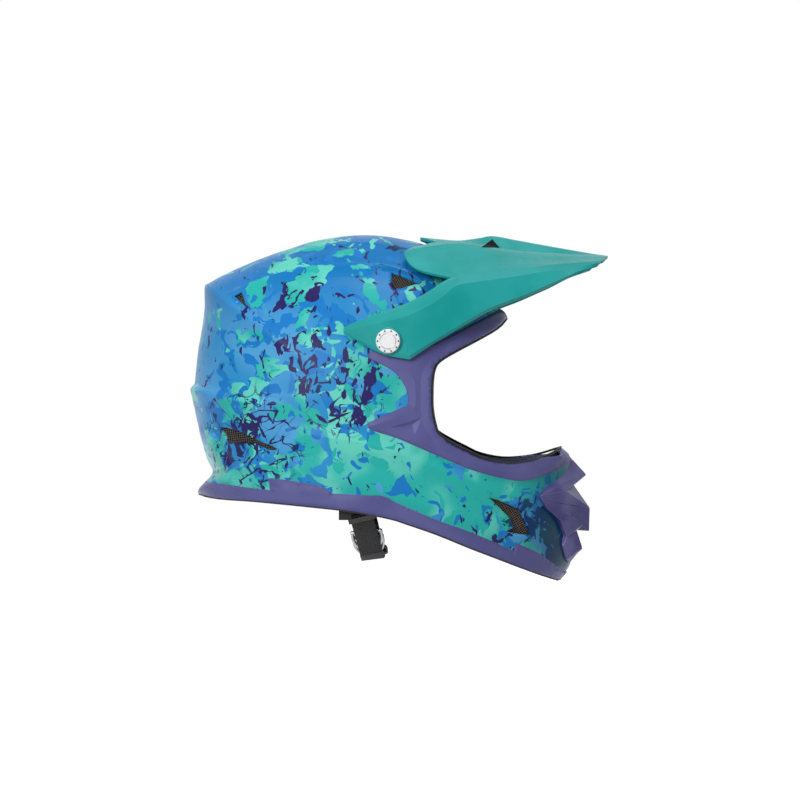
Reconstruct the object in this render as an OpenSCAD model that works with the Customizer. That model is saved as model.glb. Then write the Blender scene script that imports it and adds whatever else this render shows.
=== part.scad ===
// Full-face bicycle helmet: shell, impact liners, pads, visor, mouthpiece, strap and fasteners.
// Frame: X forward (the way the wearer looks), Y to the wearer's left, Z up, origin in the head centre.

/* [Shell] */
// half width of the shell at the ears
shell_half_w = 114; // [100:0.5:125]
// thickness of the outer shell
shell_t = 2.6; // [1.5:0.1:4]
// height of the raised violet panels over the shell
panel_rise = 1.4; // [0.5:0.1:3]
// radius of the rubber bead along the face port
port_bead_r = 1.6; // [1:0.1:3]
// radius of the rubber bead along the lower rim
rim_bead_r = 1.8; // [1:0.1:3]

/* [Liners] */
// thickness of the crown impact liner
crown_liner_t = 22; // [15:0.5:30]
// thickness of the chin impact liner
chin_liner_t = 15; // [10:0.5:25]
// air gap between shell and liners
liner_gap = 0.4; // [0.1:0.1:1]
// thickness of the crown pad
crown_pad_t = 8; // [4:0.5:14]
// thickness of a cheek pad
cheek_pad_t = 20; // [10:0.5:30]
// thickness of the brow pad
brow_pad_t = 7; // [4:0.5:10]
// thickness of the neck roll
neck_roll_t = 13; // [8:0.5:16]
// thickness of the chin pad
chin_pad_t = 8; // [4:0.5:12]
// air gap between liners and pads
pad_gap = 1.8; // [0.3:0.1:3]

/* [Visor] */
// thickness of the visor moulding
visor_t = 2.4; // [1.5:0.1:4]
// tilt axis, forward of the head centre
pivot_x = 20; // [0:0.5:40]
// tilt axis, above the head centre
pivot_z = 48.7; // [30:0.1:70]
// diameter of the visor screw head
screw_head_d = 19.6; // [14:0.1:26]
// diameter of the visor screw shank
screw_shank_d = 6; // [4:0.1:8]
// radial play of the screw in its holes
screw_play = 0.05; // [0.02:0.01:0.1]

/* [Strap] */
// width of the webbing
web_w = 19; // [15:0.5:25]
// thickness of the webbing
web_t = 1.8; // [1:0.1:3]
// wire diameter of the strap rings
ring_wire_d = 3; // [2:0.1:4]

/* [Vents] */
// width of the bars of the vent grilles
bar_w = 1.2; // [0.8:0.1:2]
// spacing of the bars of the vent grilles
bar_pitch = 8; // [3:0.5:12]

/* [Hidden] */
blue = [0.25, 0.60, 0.79];
violet = [0.27, 0.22, 0.50];
teal = [0.14, 0.60, 0.59];
black = [0.06, 0.06, 0.07];
silver = [0.85, 0.86, 0.86];
foam_grey = [0.22, 0.22, 0.24];
cloth_grey = [0.16, 0.16, 0.18];
brass = [0.72, 0.60, 0.33];
fine_fn = 48;
rod_fn = 24;
far = 400;
tiny = 0.01;

// side outline of the shell, the face port and neck bridged over
profile = [
    [120, 68], [106, 92], [81, 115.5], [54, 130.5], [25, 137.5], [-6, 139], [-33, 136],
    [-60, 129.5], [-88, 120], [-115, 108.5], [-131, 100], [-135.5, 97], [-136, 90],
    [-136, 77], [-138.5, 58], [-141, 44], [-143.5, 22], [-144.5, 14], [-148, 9],
    [-145.5, 1], [-142, -17], [-135.5, -44], [-130, -61], [-134, -68], [-140, -76],
    [-137, -84], [-126, -100], [-112, -135], [-70, -178], [0, -196], [70, -196],
    [130, -182], [166, -151], [175, -124], [177, -94], [173, -67], [166, -41],
    [159, -15], [148, 18], [134, 46]
];
// fullness of the cross-section against the direction from the head centre
inner_power = [
    [-180, 2.4], [-90, 2.4], [-50, 2.1], [-25, 2], [0, 2.1], [30, 2.3], [90, 2.2], [140, 2.3], [180, 2.4]
];
outer_power = [
    [-180, 2.4], [-90, 2.4], [-50, 1.9], [-25, 1.6], [0, 1.8], [30, 2.2], [90, 2.2], [140, 2.3], [180, 2.4]
];

function bend(a, b, c, d, t) =
    0.5 * (2 * b + (c - a) * t + (2 * a - 5 * b + 4 * c - d) * t * t + (3 * b - a - 3 * c + d) * t * t * t);
function ring_curve(p, k) = [for (i = [0 : len(p) - 1]) for (j = [0 : k - 1])
    bend(p[(i + len(p) - 1) % len(p)], p[i], p[(i + 1) % len(p)], p[(i + 2) % len(p)], j / k)];
function open_curve(p, k) = concat([for (i = [0 : len(p) - 2]) for (j = [0 : k - 1])
    bend(p[max(i - 1, 0)], p[i], p[i + 1], p[min(i + 2, len(p) - 1)], j / k)], [p[len(p) - 1]]);
function bearing(p) = atan2(p[1], p[0]);
function unit(v) = v / max(norm(v), tiny);

smooth_profile = ring_curve(profile, 2);
polar = [for (turn = [-360, 0, 360]) for (p = ring_curve(profile, 4)) [bearing(p) + turn, norm(p)]];
function reach(a) = lookup(a, polar);
function bulge(a, q) = pow(max(1 - pow(min(q, 1), lookup(a, inner_power)), 0), 1 / lookup(a, outer_power));
// half width of the grown or shrunk shell surface over a point of the side view
function half_width(x, z, grow) =
    let (a = atan2(z, x)) (shell_half_w + grow) * bulge(a, norm([x, z]) / (reach(a) + grow));
// point of the surface from direction a and opening angle r, side -1 right, 1 left
function skin(a, r, side, grow) =
    let (q = sin(r), p = reach(a) + grow)
    [q * p * cos(a), side * (shell_half_w + grow) * bulge(a, q), q * p * sin(a)];

// closed body of the shell surface, grown by a distance
module egg(grow, outline, rings) {
    n = len(outline);
    step = 90 / rings;
    right = [for (j = [1 : rings - 1]) for (p = outline) skin(bearing(p), j * step, -1, grow)];
    seam = [for (p = outline) skin(bearing(p), 90, 0, grow)];
    left = [for (j = [1 : rings - 1]) for (p = outline) skin(bearing(p), 90 - j * step, 1, grow)];
    pts = concat([[0, -shell_half_w - grow, 0]], right, seam, left, [[0, shell_half_w + grow, 0]]);
    last = len(pts) - 1;
    rows = 2 * rings - 1;
    polyhedron(pts, concat(
        [for (i = [0 : n - 1]) [0, 1 + (i + 1) % n, 1 + i]],
        [for (j = [0 : rows - 2]) for (i = [0 : n - 1])
            [1 + j * n + i, 1 + j * n + (i + 1) % n, 1 + (j + 1) * n + (i + 1) % n]],
        [for (j = [0 : rows - 2]) for (i = [0 : n - 1])
            [1 + j * n + i, 1 + (j + 1) * n + (i + 1) % n, 1 + (j + 1) * n + i]],
        [for (i = [0 : n - 1]) [last, 1 + (rows - 1) * n + i, 1 + (rows - 1) * n + (i + 1) % n]]
    ));
}
module fine_egg(grow) egg(grow, smooth_profile, 10);
module plain_egg(grow) egg(grow, profile, 8);
// side-view outline run across the whole width
module across(points) {
    rotate([90, 0, 0]) linear_extrude(height = far, center = true) polygon(points);
}

// upper, rear and lower edge of the face port
port_edge = [
    [119.8, 69.5], [110.5, 60.6], [92.4, 50.2], [74.8, 40.9], [62, 33], [57, 25.5],
    [55.6, 9.3], [55.6, -2.4], [56.8, -13.4], [60, -24], [71, -34], [87.5, -42.4],
    [100, -48.1], [119.2, -51.6], [139, -50.1], [153.5, -46.4], [166.8, -40.8]
];
port_curve = open_curve(port_edge, 2);
// lower rim from the nape to the chin
rim_edge = [
    [-139.5, -78.6], [-120, -80.6], [-88.3, -81.7], [-48.8, -84.9], [-8, -89.4], [21.7, -95.3],
    [34.6, -99.4], [60.3, -108.6], [86.4, -119.7], [112.9, -130.5], [140.5, -142.1], [163.5, -151.5]
];
rim_curve = open_curve(rim_edge, 2);
function shifted(curve, d) = [for (i = [0 : len(curve) - 1])
    let (t = unit(curve[min(i + 1, len(curve) - 1)] - curve[max(i - 1, 0)])) curve[i] + d * [t[1], -t[0]]];
module port_room(grow) {
    edge = shifted(port_curve, grow);
    across(concat([[far, edge[0][1] + 26], [136, edge[0][1] + 14]], edge,
        [[180, -37 - grow], [far, -37 - grow]]));
}
module below_rim(grow) {
    edge = shifted(rim_curve, -grow);
    across(concat([[-far, -78.6 + grow]], edge, [[180, -158 + grow], [180, -far], [-far, -far]]));
}

// violet panel round the face port
port_panel = [
    [-0.6, 39.9], [25.2, 23.3], [31.3, 15.4], [34.9, 3.2], [36.1, -3], [29.8, -7.6], [9.4, -15.9],
    [4.3, -20.4], [15.4, -27.6], [26, -30.4], [50.5, -41.5], [75.1, -52.1], [90.1, -57.8],
    [109, -63.1], [125.7, -66], [138.9, -66.5], [147.1, -64.3], [159.9, -57.4], [171.4, -48],
    [200, -40], [200, 92], [113.2, 76.5], [59, 47.5], [20, 50]
];
// violet band along the lower rim
lower_band = [
    [-200, -67.1], [-134, -67.1], [-107.3, -69.3], [-73.9, -64.5], [-45.4, -67], [-36.2, -68.7],
    [-23.8, -75.4], [-7, -76.5], [15.4, -77.5], [29.8, -84], [50.6, -93], [75.2, -103.5],
    [100.2, -113.4], [124.5, -123.7], [125.9, -118], [139, -124.4], [147.3, -130.2],
    [168.1, -144.7], [200, -150], [200, -200], [-200, -200]
];

// vent openings of the right side as convex tiles in the side view
crown_vent = [[[22.8, 106], [46.4, 97.7], [31.4, 93], [25.3, 91.6], [23.2, 98.9]]];
rear_vent = [[[-107.6, 86.6], [-101, 89.5], [-98.6, 79.6]], [[-101, 89.5], [-91.7, 77.1], [-98.6, 79.6]]];
neck_vent = [
    [[-119.6, -21.8], [-113.7, -22], [-100.4, -25.8], [-104.1, -32.7], [-113.6, -33.7]],
    [[-100.4, -25.8], [-88.5, -30.8], [-88.5, -35.4], [-104.1, -32.7]],
    [[-88.5, -30.8], [-70.6, -38], [-72.3, -39.7], [-88.5, -35.4]]
];
chin_vent = [
    [[101.9, -79], [110.2, -81.1], [112.8, -89.2], [105.2, -81.6]],
    [[110.2, -81.1], [121.8, -86.4], [126.3, -91.6], [120.5, -97], [112.8, -89.2]],
    [[121.8, -86.4], [129.6, -90.5], [126.3, -91.6]],
    [[126.3, -91.6], [133.5, -100], [138.2, -109.6], [133.6, -110.7], [123.8, -104], [120.5, -97]],
    [[123.8, -104], [133.6, -110.7], [120.6, -108.2], [116.7, -106.9]]
];
module vent_shape(tiles) {
    for (tile = tiles) polygon(tile);
}
// straight cut through one side of the shell, and how far out its middle lies
vent_y = 85;
vent_cut_l = 100;
module side_vent(tiles, side) {
    translate([0, side * vent_y, 0]) rotate([90, 0, 0])
        linear_extrude(height = vent_cut_l, center = true) vent_shape(tiles);
}
module all_vents() {
    for (side = [-1, 1]) {
        side_vent(crown_vent, side);
        side_vent(rear_vent, side);
        side_vent(neck_vent, side);
        side_vent(chin_vent, side);
    }
}

// flat seat on the shell for the visor washer, and the barrel of the insert that goes through it
seat_y = shell_half_w - 2;
seat_d = 25;
seat_h = 9;
insert_d = 9;
insert_play = 0.2;
module at_pivot(side, y) {
    translate([pivot_x, side * y, pivot_z]) rotate([side * -90, 0, 0]) children();
}

// intake behind the mouthpiece
intake_half_w = 14;
intake_low = -128;
intake_high = -115;
module mouth_intake(grow) {
    translate([130, -intake_half_w - grow, intake_low - grow])
        cube([80, 2 * (intake_half_w + grow), intake_high - intake_low + 2 * grow]);
}
// pins that hold the mouthpiece on the chin
pin_d = 4;
pin_room = 0.5;
pin_hole_x = 165;
pin_spots = [[14, -82], [14, -104]];
module pin_places(d, x, length) {
    for (side = [-1, 1])
        for (spot = pin_spots)
            translate([x, side * spot[0], spot[1]]) rotate([0, 90, 0])
                cylinder(h = length, d = d, $fn = rod_fn);
}
// strap anchors on the inside of the shell
anchor_x = -14;
anchor_z = -52;
anchor_pin_d = 5;
// relief in the liner beside the webbing, where its keeper swings past: X, Z of the top, half width
keeper_relief = [[-14, 24], -80, 82.4];

// shell and trims
module outer_shell() {
    color(blue) difference() {
        union() {
            fine_egg(0);
            intersection() {
                fine_egg(panel_rise);
                union() {
                    across(port_panel);
                    across(lower_band);
                }
            }
            for (side = [-1, 1])
                at_pivot(side, seat_y - seat_h) cylinder(h = seat_h, d = seat_d, $fn = fine_fn);
        }
        plain_egg(-shell_t);
        port_room(0);
        below_rim(0);
        all_vents();
        for (side = [-1, 1])
            at_pivot(side, seat_y - 27) cylinder(h = 30, d = insert_d + 2 * insert_play, $fn = fine_fn);
        for (side = [-1, 1])
            at_pivot(side, seat_y) cylinder(h = 10, d = seat_d + 3, $fn = fine_fn);
        mouth_intake(0);
        pin_places(pin_d + pin_room, pin_hole_x, 20);
    }
}

// tube of round section along a closed loop of points
module bead(loop, r, sides) {
    n = len(loop);
    rings = [for (i = [0 : n - 1])
        let (
            t = unit(loop[(i + 1) % n] - loop[(i + n - 1) % n]),
            u = unit(cross(t, unit(loop[i]))),
            v = cross(u, t)
        ) [for (j = [0 : sides - 1]) loop[i] + r * (u * cos(j * 360 / sides) + v * sin(j * 360 / sides))]];
    polyhedron([for (ring = rings) each ring], concat(
        [for (i = [0 : n - 1]) for (j = [0 : sides - 1])
            [i * sides + j, i * sides + (j + 1) % sides, ((i + 1) % n) * sides + (j + 1) % sides]],
        [for (i = [0 : n - 1]) for (j = [0 : sides - 1])
            [i * sides + j, ((i + 1) % n) * sides + (j + 1) % sides, ((i + 1) % n) * sides + j]]
    ));
}
function skin_loop(edge, depth) = concat(
    [for (p = edge) [p[0], -half_width(p[0], p[1], -depth), p[1]]],
    [for (i = [len(edge) - 2 : -1 : 1]) [edge[i][0], half_width(edge[i][0], edge[i][1], -depth), edge[i][1]]]);
module port_trim() {
    color(black) bead(skin_loop(shifted(port_curve, -port_bead_r - 0.15), shell_t / 2), port_bead_r, 5);
}
module rim_trim() {
    color(black) bead(skin_loop(shifted(rim_curve, rim_bead_r + 0.15), shell_t / 2), rim_bead_r, 6);
}

// impact liners
// line that parts the crown liner from the chin liner
part_top = [58, -20];
part_foot = [16, -110];
part_gap = 1;
module ahead_of_part(shift) {
    across([
        [part_top[0] + shift, part_top[1]], [part_foot[0] + shift, part_foot[1]],
        [part_foot[0] + shift, -far], [far, -far], [far, part_top[1]]
    ]);
}
// how far the liners stop short of the face port and of the rim
port_setback = 1;
rim_setback = 3;
// round clearances in the liner for the visor insert and for the strap anchor
insert_bay_d = 21.4;
anchor_bay_d = 26;
module crown_liner() {
    color(foam_grey) difference() {
        plain_egg(-shell_t - liner_gap);
        plain_egg(-shell_t - crown_liner_t);
        port_room(port_setback);
        below_rim(rim_setback);
        ahead_of_part(0);
        for (side = [-1, 1]) {
            side_vent(crown_vent, side);
            side_vent([neck_vent[0], neck_vent[1]], side);
        }
        for (side = [-1, 1]) {
            at_pivot(side, seat_y - 32) cylinder(h = 40, d = insert_bay_d, $fn = 12);
            translate([anchor_x, side * (shell_half_w - 19), anchor_z]) rotate([90, 0, 0])
                cylinder(h = 30, d = anchor_bay_d, center = true, $fn = 12);
        }
        translate([keeper_relief[0][0], -keeper_relief[2], keeper_relief[1] - 40])
            cube([keeper_relief[0][1] - keeper_relief[0][0], 2 * keeper_relief[2], 40]);
    }
}
module chin_liner() {
    color(foam_grey) difference() {
        intersection() {
            plain_egg(-shell_t - liner_gap);
            ahead_of_part(part_gap);
        }
        plain_egg(-shell_t - chin_liner_t);
        port_room(port_setback);
        below_rim(rim_setback);
        for (side = [-1, 1]) {
            side_vent(crown_vent, side);
            side_vent(chin_vent, side);
        }
        mouth_intake(0);
    }
}

// soft pads
// fullness of a cushion over its face, 0 at the edge, 1 in the middle
function crown_of(t) = pow(1 - pow(abs(2 * t - 1), 4), 0.5);
function pillow(u, v) = 0.22 + 0.78 * crown_of(u) * crown_of(v);
// closed cushion between a back and a front grid of points
module cushion(back, front) {
    n = len(back);
    m = len(back[0]);
    f = n * m;
    polyhedron(concat([for (row = back) each row], [for (row = front) each row]), concat(
        [for (i = [0 : n - 2]) for (j = [0 : m - 2]) [i * m + j, i * m + j + 1, (i + 1) * m + j + 1]],
        [for (i = [0 : n - 2]) for (j = [0 : m - 2]) [i * m + j, (i + 1) * m + j + 1, (i + 1) * m + j]],
        [for (i = [0 : n - 2]) for (j = [0 : m - 2])
            [f + i * m + j, f + (i + 1) * m + j + 1, f + i * m + j + 1]],
        [for (i = [0 : n - 2]) for (j = [0 : m - 2])
            [f + i * m + j, f + (i + 1) * m + j, f + (i + 1) * m + j + 1]],
        [for (i = [0 : n - 2])
            each [[i * m, (i + 1) * m, f + (i + 1) * m], [i * m, f + (i + 1) * m, f + i * m]]],
        [for (i = [0 : n - 2]) let (a = i * m + m - 1, b = a + m) each [[b, a, f + a], [b, f + a, f + b]]],
        [for (j = [0 : m - 2]) each [[j + 1, j, f + j], [j + 1, f + j, f + j + 1]]],
        [for (j = [0 : m - 2]) let (a = (n - 1) * m + j, b = a + 1) each [[a, b, f + b], [a, f + b, f + a]]]
    ));
}
// point of the head side of the liner, s from -1 far right over 0 the middle to 1 far left
function lining(a, s, spread, depth) =
    skin(a, 90 - abs(s) * spread, s < 0 ? -1 : (s > 0 ? 1 : 0), -depth);
// cushion laid over the middle plane between two directions
module band_pad(a0, a1, spread, depth, thick, na, ns, seams) {
    grid = [for (i = [na : -1 : 0]) [for (j = [0 : ns]) [i / na, j / ns]]];
    function groove(v) = 1 - 0.4 * max([for (s = seams) max(0, 1 - abs(v - s) * ns)]);
    back = [for (row = grid) [for (g = row)
        lining(a0 + g[0] * (a1 - a0), 2 * g[1] - 1, spread,
            depth + 0.25 * thick * (1 - pillow(g[0], g[1])))]];
    front = [for (row = grid) [for (g = row)
        lining(a0 + g[0] * (a1 - a0), 2 * g[1] - 1, spread,
            depth + thick * (0.25 * (1 - pillow(g[0], g[1])) + pillow(g[0], g[1]) * groove(g[1])))]];
    cushion(back, front);
}
inner_face = shell_t + crown_liner_t + pad_gap;
module crown_pad() {
    color(cloth_grey) band_pad(52, 150, 42, inner_face, crown_pad_t, 12, 12, [0.333, 0.667]);
}
module brow_pad() {
    color(cloth_grey) band_pad(37, 49, 46, inner_face, brow_pad_t, 6, 16, [0.25, 0.5, 0.75]);
}
module neck_roll() {
    color(cloth_grey) band_pad(-166, -151, 52, inner_face + 0.2, neck_roll_t, 6, 16, [0.25, 0.75]);
}
module chin_pad() {
    color(cloth_grey) band_pad(-34, -24, 36, shell_t + chin_liner_t + pad_gap, chin_pad_t, 6, 12, [0.5]);
}
// room for the webbing between liner and cheek pad
cheek_room = 6;
// corners of a cheek pad in the side view: lower rear, lower front, upper front, upper rear
cheek_corners = [[-16, -82], [46, -98], [52, -26], [-18, -24]];
module cheek_pad(side) {
    nu = 8;
    nv = 8;
    function spot(u, v) = (1 - u) * ((1 - v) * cheek_corners[0] + v * cheek_corners[3])
        + u * ((1 - v) * cheek_corners[1] + v * cheek_corners[2]);
    function groove(v) = 1 - 0.3 * max(0, 1 - abs(v - 0.5) * nv);
    function place(u, v, d) = let (p = spot(u, v)) [p[0], side * half_width(p[0], p[1], -d), p[1]];
    rows = [for (i = [0 : nu]) side < 0 ? i / nu : 1 - i / nu];
    cols = [for (j = [0 : nv]) j / nv];
    depth = inner_face + cheek_room;
    cushion(
        [for (u = rows) [for (v = cols) place(u, v, depth + 0.15 * cheek_pad_t * (1 - pillow(u, v)))]],
        [for (u = rows) [for (v = cols)
            place(u, v, depth + cheek_pad_t * (0.15 * (1 - pillow(u, v)) + pillow(u, v) * groove(v)))]]
    );
}
module cheek_pad_right() {
    color(cloth_grey) cheek_pad(-1);
}
module cheek_pad_left() {
    color(cloth_grey) cheek_pad(1);
}

// vent grilles: a frame and crossing bars set in the shell thickness
grille_out = 0.5;
grille_in = 2.2;
grille_play = 0.3;
grille_frame_w = 1.2;
grille_reach = vent_cut_l + 10;
module bar(a, b) {
    hull() {
        translate(a) circle(d = bar_w, $fn = 4);
        translate(b) circle(d = bar_w, $fn = 4);
    }
}
module lattice(mid, reach_y) {
    for (k = [-2 : 2]) {
        bar(mid + [k * bar_pitch - reach_y, -reach_y], mid + [k * bar_pitch + reach_y, reach_y]);
        bar(mid + [k * bar_pitch - reach_y, reach_y], mid + [k * bar_pitch + reach_y, -reach_y]);
    }
}
module grille(tiles, side, mid) {
    intersection() {
        difference() {
            plain_egg(-grille_out);
            plain_egg(-grille_in);
        }
        translate([0, side * vent_y, 0]) rotate([90, 0, 0]) linear_extrude(height = grille_reach, center = true) {
            difference() {
                offset(delta = -grille_play) vent_shape(tiles);
                offset(delta = -grille_play - grille_frame_w) vent_shape(tiles);
            }
            intersection() {
                offset(delta = -grille_play - 0.05) vent_shape(tiles);
                lattice(mid, 16);
            }
        }
    }
}
module crown_grille(side) {
    color(black) grille(crown_vent, side, [30, 98]);
}
module rear_grille(side) {
    color(black) grille(rear_vent, side, [-99, 83]);
}
module neck_grille(side) {
    color(black) grille(neck_vent, side, [-104, -30]);
}
module chin_grille(side) {
    color(black) grille(chin_vent, side, [122, -96]);
}
module crown_grille_right() crown_grille(-1);
module crown_grille_left() crown_grille(1);
module rear_grille_right() rear_grille(-1);
module rear_grille_left() rear_grille(1);
module neck_grille_right() neck_grille(-1);
module neck_grille_left() neck_grille(1);
module chin_grille_right() chin_grille(-1);
module chin_grille_left() chin_grille(1);

// mouthpiece
// facet corners of the mouthpiece, Y to one side
blade = [[146.8, 61, -78.6], [160.3, 47.5, -72.9], [167.6, 36, -68], [173.6, 20, -59.7],
    [176, 8, -50.4], [186.2, 8, -61.5], [187.5, 8, -63.4], [179.9, 9, -69.2], [177.2, 11.5, -72.3],
    [168.7, 40, -75.8], [168.5, 8, -47]];
brow_facet = [[146.8, 61, -78.6], [168.7, 40, -75.8], [177.2, 11.5, -72.3], [177.8, 12.5, -76.4],
    [182.9, 14, -81.3], [190, 14.5, -90.8], [173.6, 34, -86.6], [166.8, 43, -86.2], [146.8, 61, -80.8]];
bridge = [[190, 14.5, -90.8], [183, 13, -81.3], [177.8, 11.5, -76.5], [177.2, 11.5, -72.3],
    [172, 26, -81.4]];
nose = [[190, 14.5, -90.8], [190.1, 15, -92.8], [189.6, 15, -110.6], [180.5, 16, -110],
    [183.6, 21, -103.5], [173.3, 32, -95.9], [168.8, 37, -93.5], [167.4, 41, -87.1],
    [173.3, 32.5, -87]];
wing = [[146.8, 61, -80.8], [152, 55.5, -89.9], [157.8, 50.5, -94.8], [163.4, 44.5, -99.9],
    [166.1, 42, -93.3], [173.1, 35, -95.7], [173.6, 33.5, -87.4], [166.9, 42.5, -86.8]];
cheek_facet = [[166.1, 42, -93.3], [173.1, 36, -95.7], [184.5, 24, -104.1], [179, 23, -110],
    [163.4, 44.5, -99.9], [169.9, 33.5, -114.7]];
fang = [[179, 23, -110], [183.7, 20, -124], [172.9, 17, -137.9], [166.7, 34, -122.2],
    [169.9, 33.5, -114.7], [170.2, 26, -134.1]];
chin_facet = [[184.3, 20, -125], [168.5, 30, -119.5], [170, 24, -128.5], [173.5, 9, -135.5],
    [176, 17, -127], [177, 9, -131]];
// forward blade under the lip
blade_tip = [[176, 8, -50.4], [186.2, 8, -61.5], [187.5, 8, -63.4], [179.9, 9, -69.2],
    [177.2, 11.5, -72.3], [168.5, 8, -47]];
// convex block between facet corners and their copies set back toward the shell
drawn_half_w = 114;
chin_spread = shell_half_w / drawn_half_w;
mouth_play = 0.3;
function with_backs(corners) = concat(corners, [for (p = corners) [p[0] - 5, p[1] * 0.9, p[2] * 0.985]]);
module block(corners) {
    pts = with_backs([for (p = corners) [p[0], p[1] * chin_spread, p[2]]]);
    hull() polyhedron(pts, [[for (i = [0 : len(pts) - 1]) i]]);
}
module twice() {
    children();
    mirror([0, 1, 0]) children();
}
module mouthpiece() {
    color(violet) difference() {
        union() {
            hull() twice() block(blade_tip);
            twice() block(blade);
            twice() block(brow_facet);
            hull() twice() block(bridge);
            hull() twice() block(nose);
            twice() block(wing);
            twice() block(cheek_facet);
            twice() block(fang);
            twice() block(chin_facet);
            hull() twice() block([[173.5, 9, -135.5], [177, 9, -131]]);
        }
        fine_egg(mouth_play);
        intersection() {
            fine_egg(panel_rise + mouth_play);
            rotate([90, 0, 0]) linear_extrude(height = far, center = true) offset(delta = 0.4) {
                polygon(port_panel);
                polygon(lower_band);
            }
        }
        pin_places(pin_d + pin_room, pin_hole_x, 16);
    }
}
module mouth_grille() {
    x = 176.9;
    low = -126;
    high = -113;
    half_w = 13.8;
    t = 1.5;
    w = 1.6;
    pitch = 5.2;
    color(black) {
        for (k = [-2 : 2])
            translate([x, k * pitch - w / 2, low]) cube([t, w, high - low]);
        for (z = [low, high - w])
            translate([x, -half_w, z]) cube([t, 2 * half_w, w]);
        for (side = [-1, 1])
            translate([x, side * (half_w - w / 2) - w / 2, low]) cube([t, w, high - low]);
    }
}
module mouthpiece_pins() {
    color(black) pin_places(pin_d, 173.4, 7);
}

// visor
// half sections from the ridge down to the lower edge, from the rear end of the arm forward
arm_rows = [
    [[-15.9, 118.6, 59.5], [-16.1, 119.4, 58.3], [-16.1, 119.4, 56.7], [-15.9, 119, 55.2]],
    [[-5.8, 117.5, 64.5], [-5, 119.5, 59.5], [-3.3, 119.5, 49.7], [-2.8, 118.5, 47.8]],
    [[14.9, 115.5, 71.9], [15.5, 119, 64], [16.3, 119, 40.8], [16.2, 118, 38.1]],
    [[35.6, 110.5, 80], [37, 115.5, 70], [38.2, 118, 37.5], [37.6, 116.5, 33.8]],
    [[52.5, 106, 89.2], [55.2, 111.5, 78.8], [58.2, 114, 50], [56.7, 112, 46.4]],
    [[63.9, 102, 96.9], [67, 106.5, 87.2], [74.6, 108.5, 59.8], [72.9, 107, 56]]
];
// half sections from the middle outward: scoop, valley, lobe, ridge, side and lower edge
roof_rows = [
    [[47, 0, 138.2], [47.5, 11, 137.8], [60.2, 30, 133.3], [38.1, 58, 126.6], [33.5, 70, 120.4],
        [43.1, 82, 108.7], [72.2, 98, 101], [75.8, 101.5, 94.3], [90.3, 102.6, 69], [89, 100.5, 65.6]],
    [[64, 0, 136.6], [64.1, 11, 136.1], [70.2, 30, 132.3], [54.2, 57, 129], [52.3, 68, 122.5],
        [62.5, 81, 112.7], [84.9, 93.5, 103.3], [89, 97, 97], [103.6, 97.6, 76.3], [102.2, 95.5, 73]],
    [[80, 0, 135.4], [80.1, 11, 135.1], [82.3, 29, 131.7], [76.4, 52, 131.8], [76.5, 64, 125.4],
        [84.7, 77, 114.7], [101.1, 87.5, 105.4], [105.2, 91, 99.4], [118.8, 92.1, 82.4], [117.4, 90, 79.2]],
    [[96, 0, 137.4], [96.1, 11, 137], [97.3, 26, 129.8], [96.5, 46, 130.2], [97.7, 58, 126],
        [104.9, 71, 115.2], [119.3, 80.5, 108], [123.4, 84, 102.2], [134.2, 85.6, 88.2], [133, 83.5, 85.1]],
    [[108.5, 0, 139.4], [108.7, 11.5, 138.4], [110.3, 24, 127.2], [112.6, 40, 127.4], [114.8, 51, 124.1],
        [123, 64, 115.8], [136.4, 73.5, 110.2], [140, 77, 105.1], [148.8, 79.1, 94.5], [147.6, 77, 91.4]],
    [[128, 0, 136], [128.2, 11, 134.9], [129.9, 21, 125.2], [131.6, 35, 125.3], [133.8, 45, 122.5],
        [141.1, 57, 116.2], [152.4, 66.5, 112.3], [155.5, 70, 107.9], [162.6, 72.6, 100.4], [161.6, 71, 97.7]],
    [[150, 0, 132], [150.2, 10, 130.9], [151.4, 18, 124.1], [152.6, 30, 123.9], [154.8, 39, 121.6],
        [160.1, 50, 116.8], [169.4, 59, 114.1], [172.1, 62.5, 110.9], [176.6, 65.6, 106.8], [175.7, 65.5, 105]],
    [[176, 0, 127.4], [176.2, 8.5, 126.5], [176.9, 15, 123.2], [178.1, 25, 122.5], [179.9, 33, 120.8],
        [183.7, 43, 117.8], [188.9, 51, 115.9], [190, 54.5, 113.7], [188.3, 57.1, 110.4], [187.6, 57.5, 109.2]],
    [[206, 0, 122.2], [206, 7, 122.2], [205.4, 13.5, 122], [204.3, 22, 121.4], [202.9, 29, 120.4],
        [201.1, 37, 118.7], [198.9, 44, 116.7], [197.4, 47, 114.9], [194.8, 49.1, 112.3], [194.2, 49.5, 111.4]]
];
arm_n = len(arm_rows);
edge_c = len(roof_rows[0]) - 1;
ridge_c = edge_c - len(arm_rows[0]) + 1;
last_row = arm_n + len(roof_rows) - 1;
// the arms reach past the widest place of the shell
visor_spread = (shell_half_w + 5.5) / arm_rows[1][1][1];
function drawn_point(i, c) = i < arm_n ? arm_rows[i][max(c, ridge_c) - ridge_c] : roof_rows[i - arm_n][c];
function half_point(i, c) = let (p = drawn_point(i, c)) [p[0], p[1] * visor_spread, p[2]];
function visor_point(i, c) = let (p = half_point(i, abs(c))) c < 0 ? [p[0], -p[1], p[2]] : p;
function visor_normal(i, c) =
    let (
        low = i < arm_n ? ridge_c : 0,
        a = abs(c),
        across_it = visor_point(i, min(a + 1, edge_c)) - visor_point(i, a > low ? a - 1 : (low == 0 ? -1 : a)),
        along_it = visor_point(min(i + 1, last_row), a)
            - visor_point(a < ridge_c ? max(i - 1, arm_n) : max(i - 1, 0), a),
        n = unit(cross(along_it, across_it))
    ) c < 0 ? [n[0], -n[1], n[2]] : n;
arm_w = 2 * (edge_c - ridge_c + 1);
roof_w = 2 * edge_c + 1;
function visor_index(i, c) = i < arm_n
    ? i * arm_w + (c < 0 ? c + edge_c : c - 2 * ridge_c + edge_c + 1)
    : arm_n * arm_w + (i - arm_n) * roof_w + c + edge_c;
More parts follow.
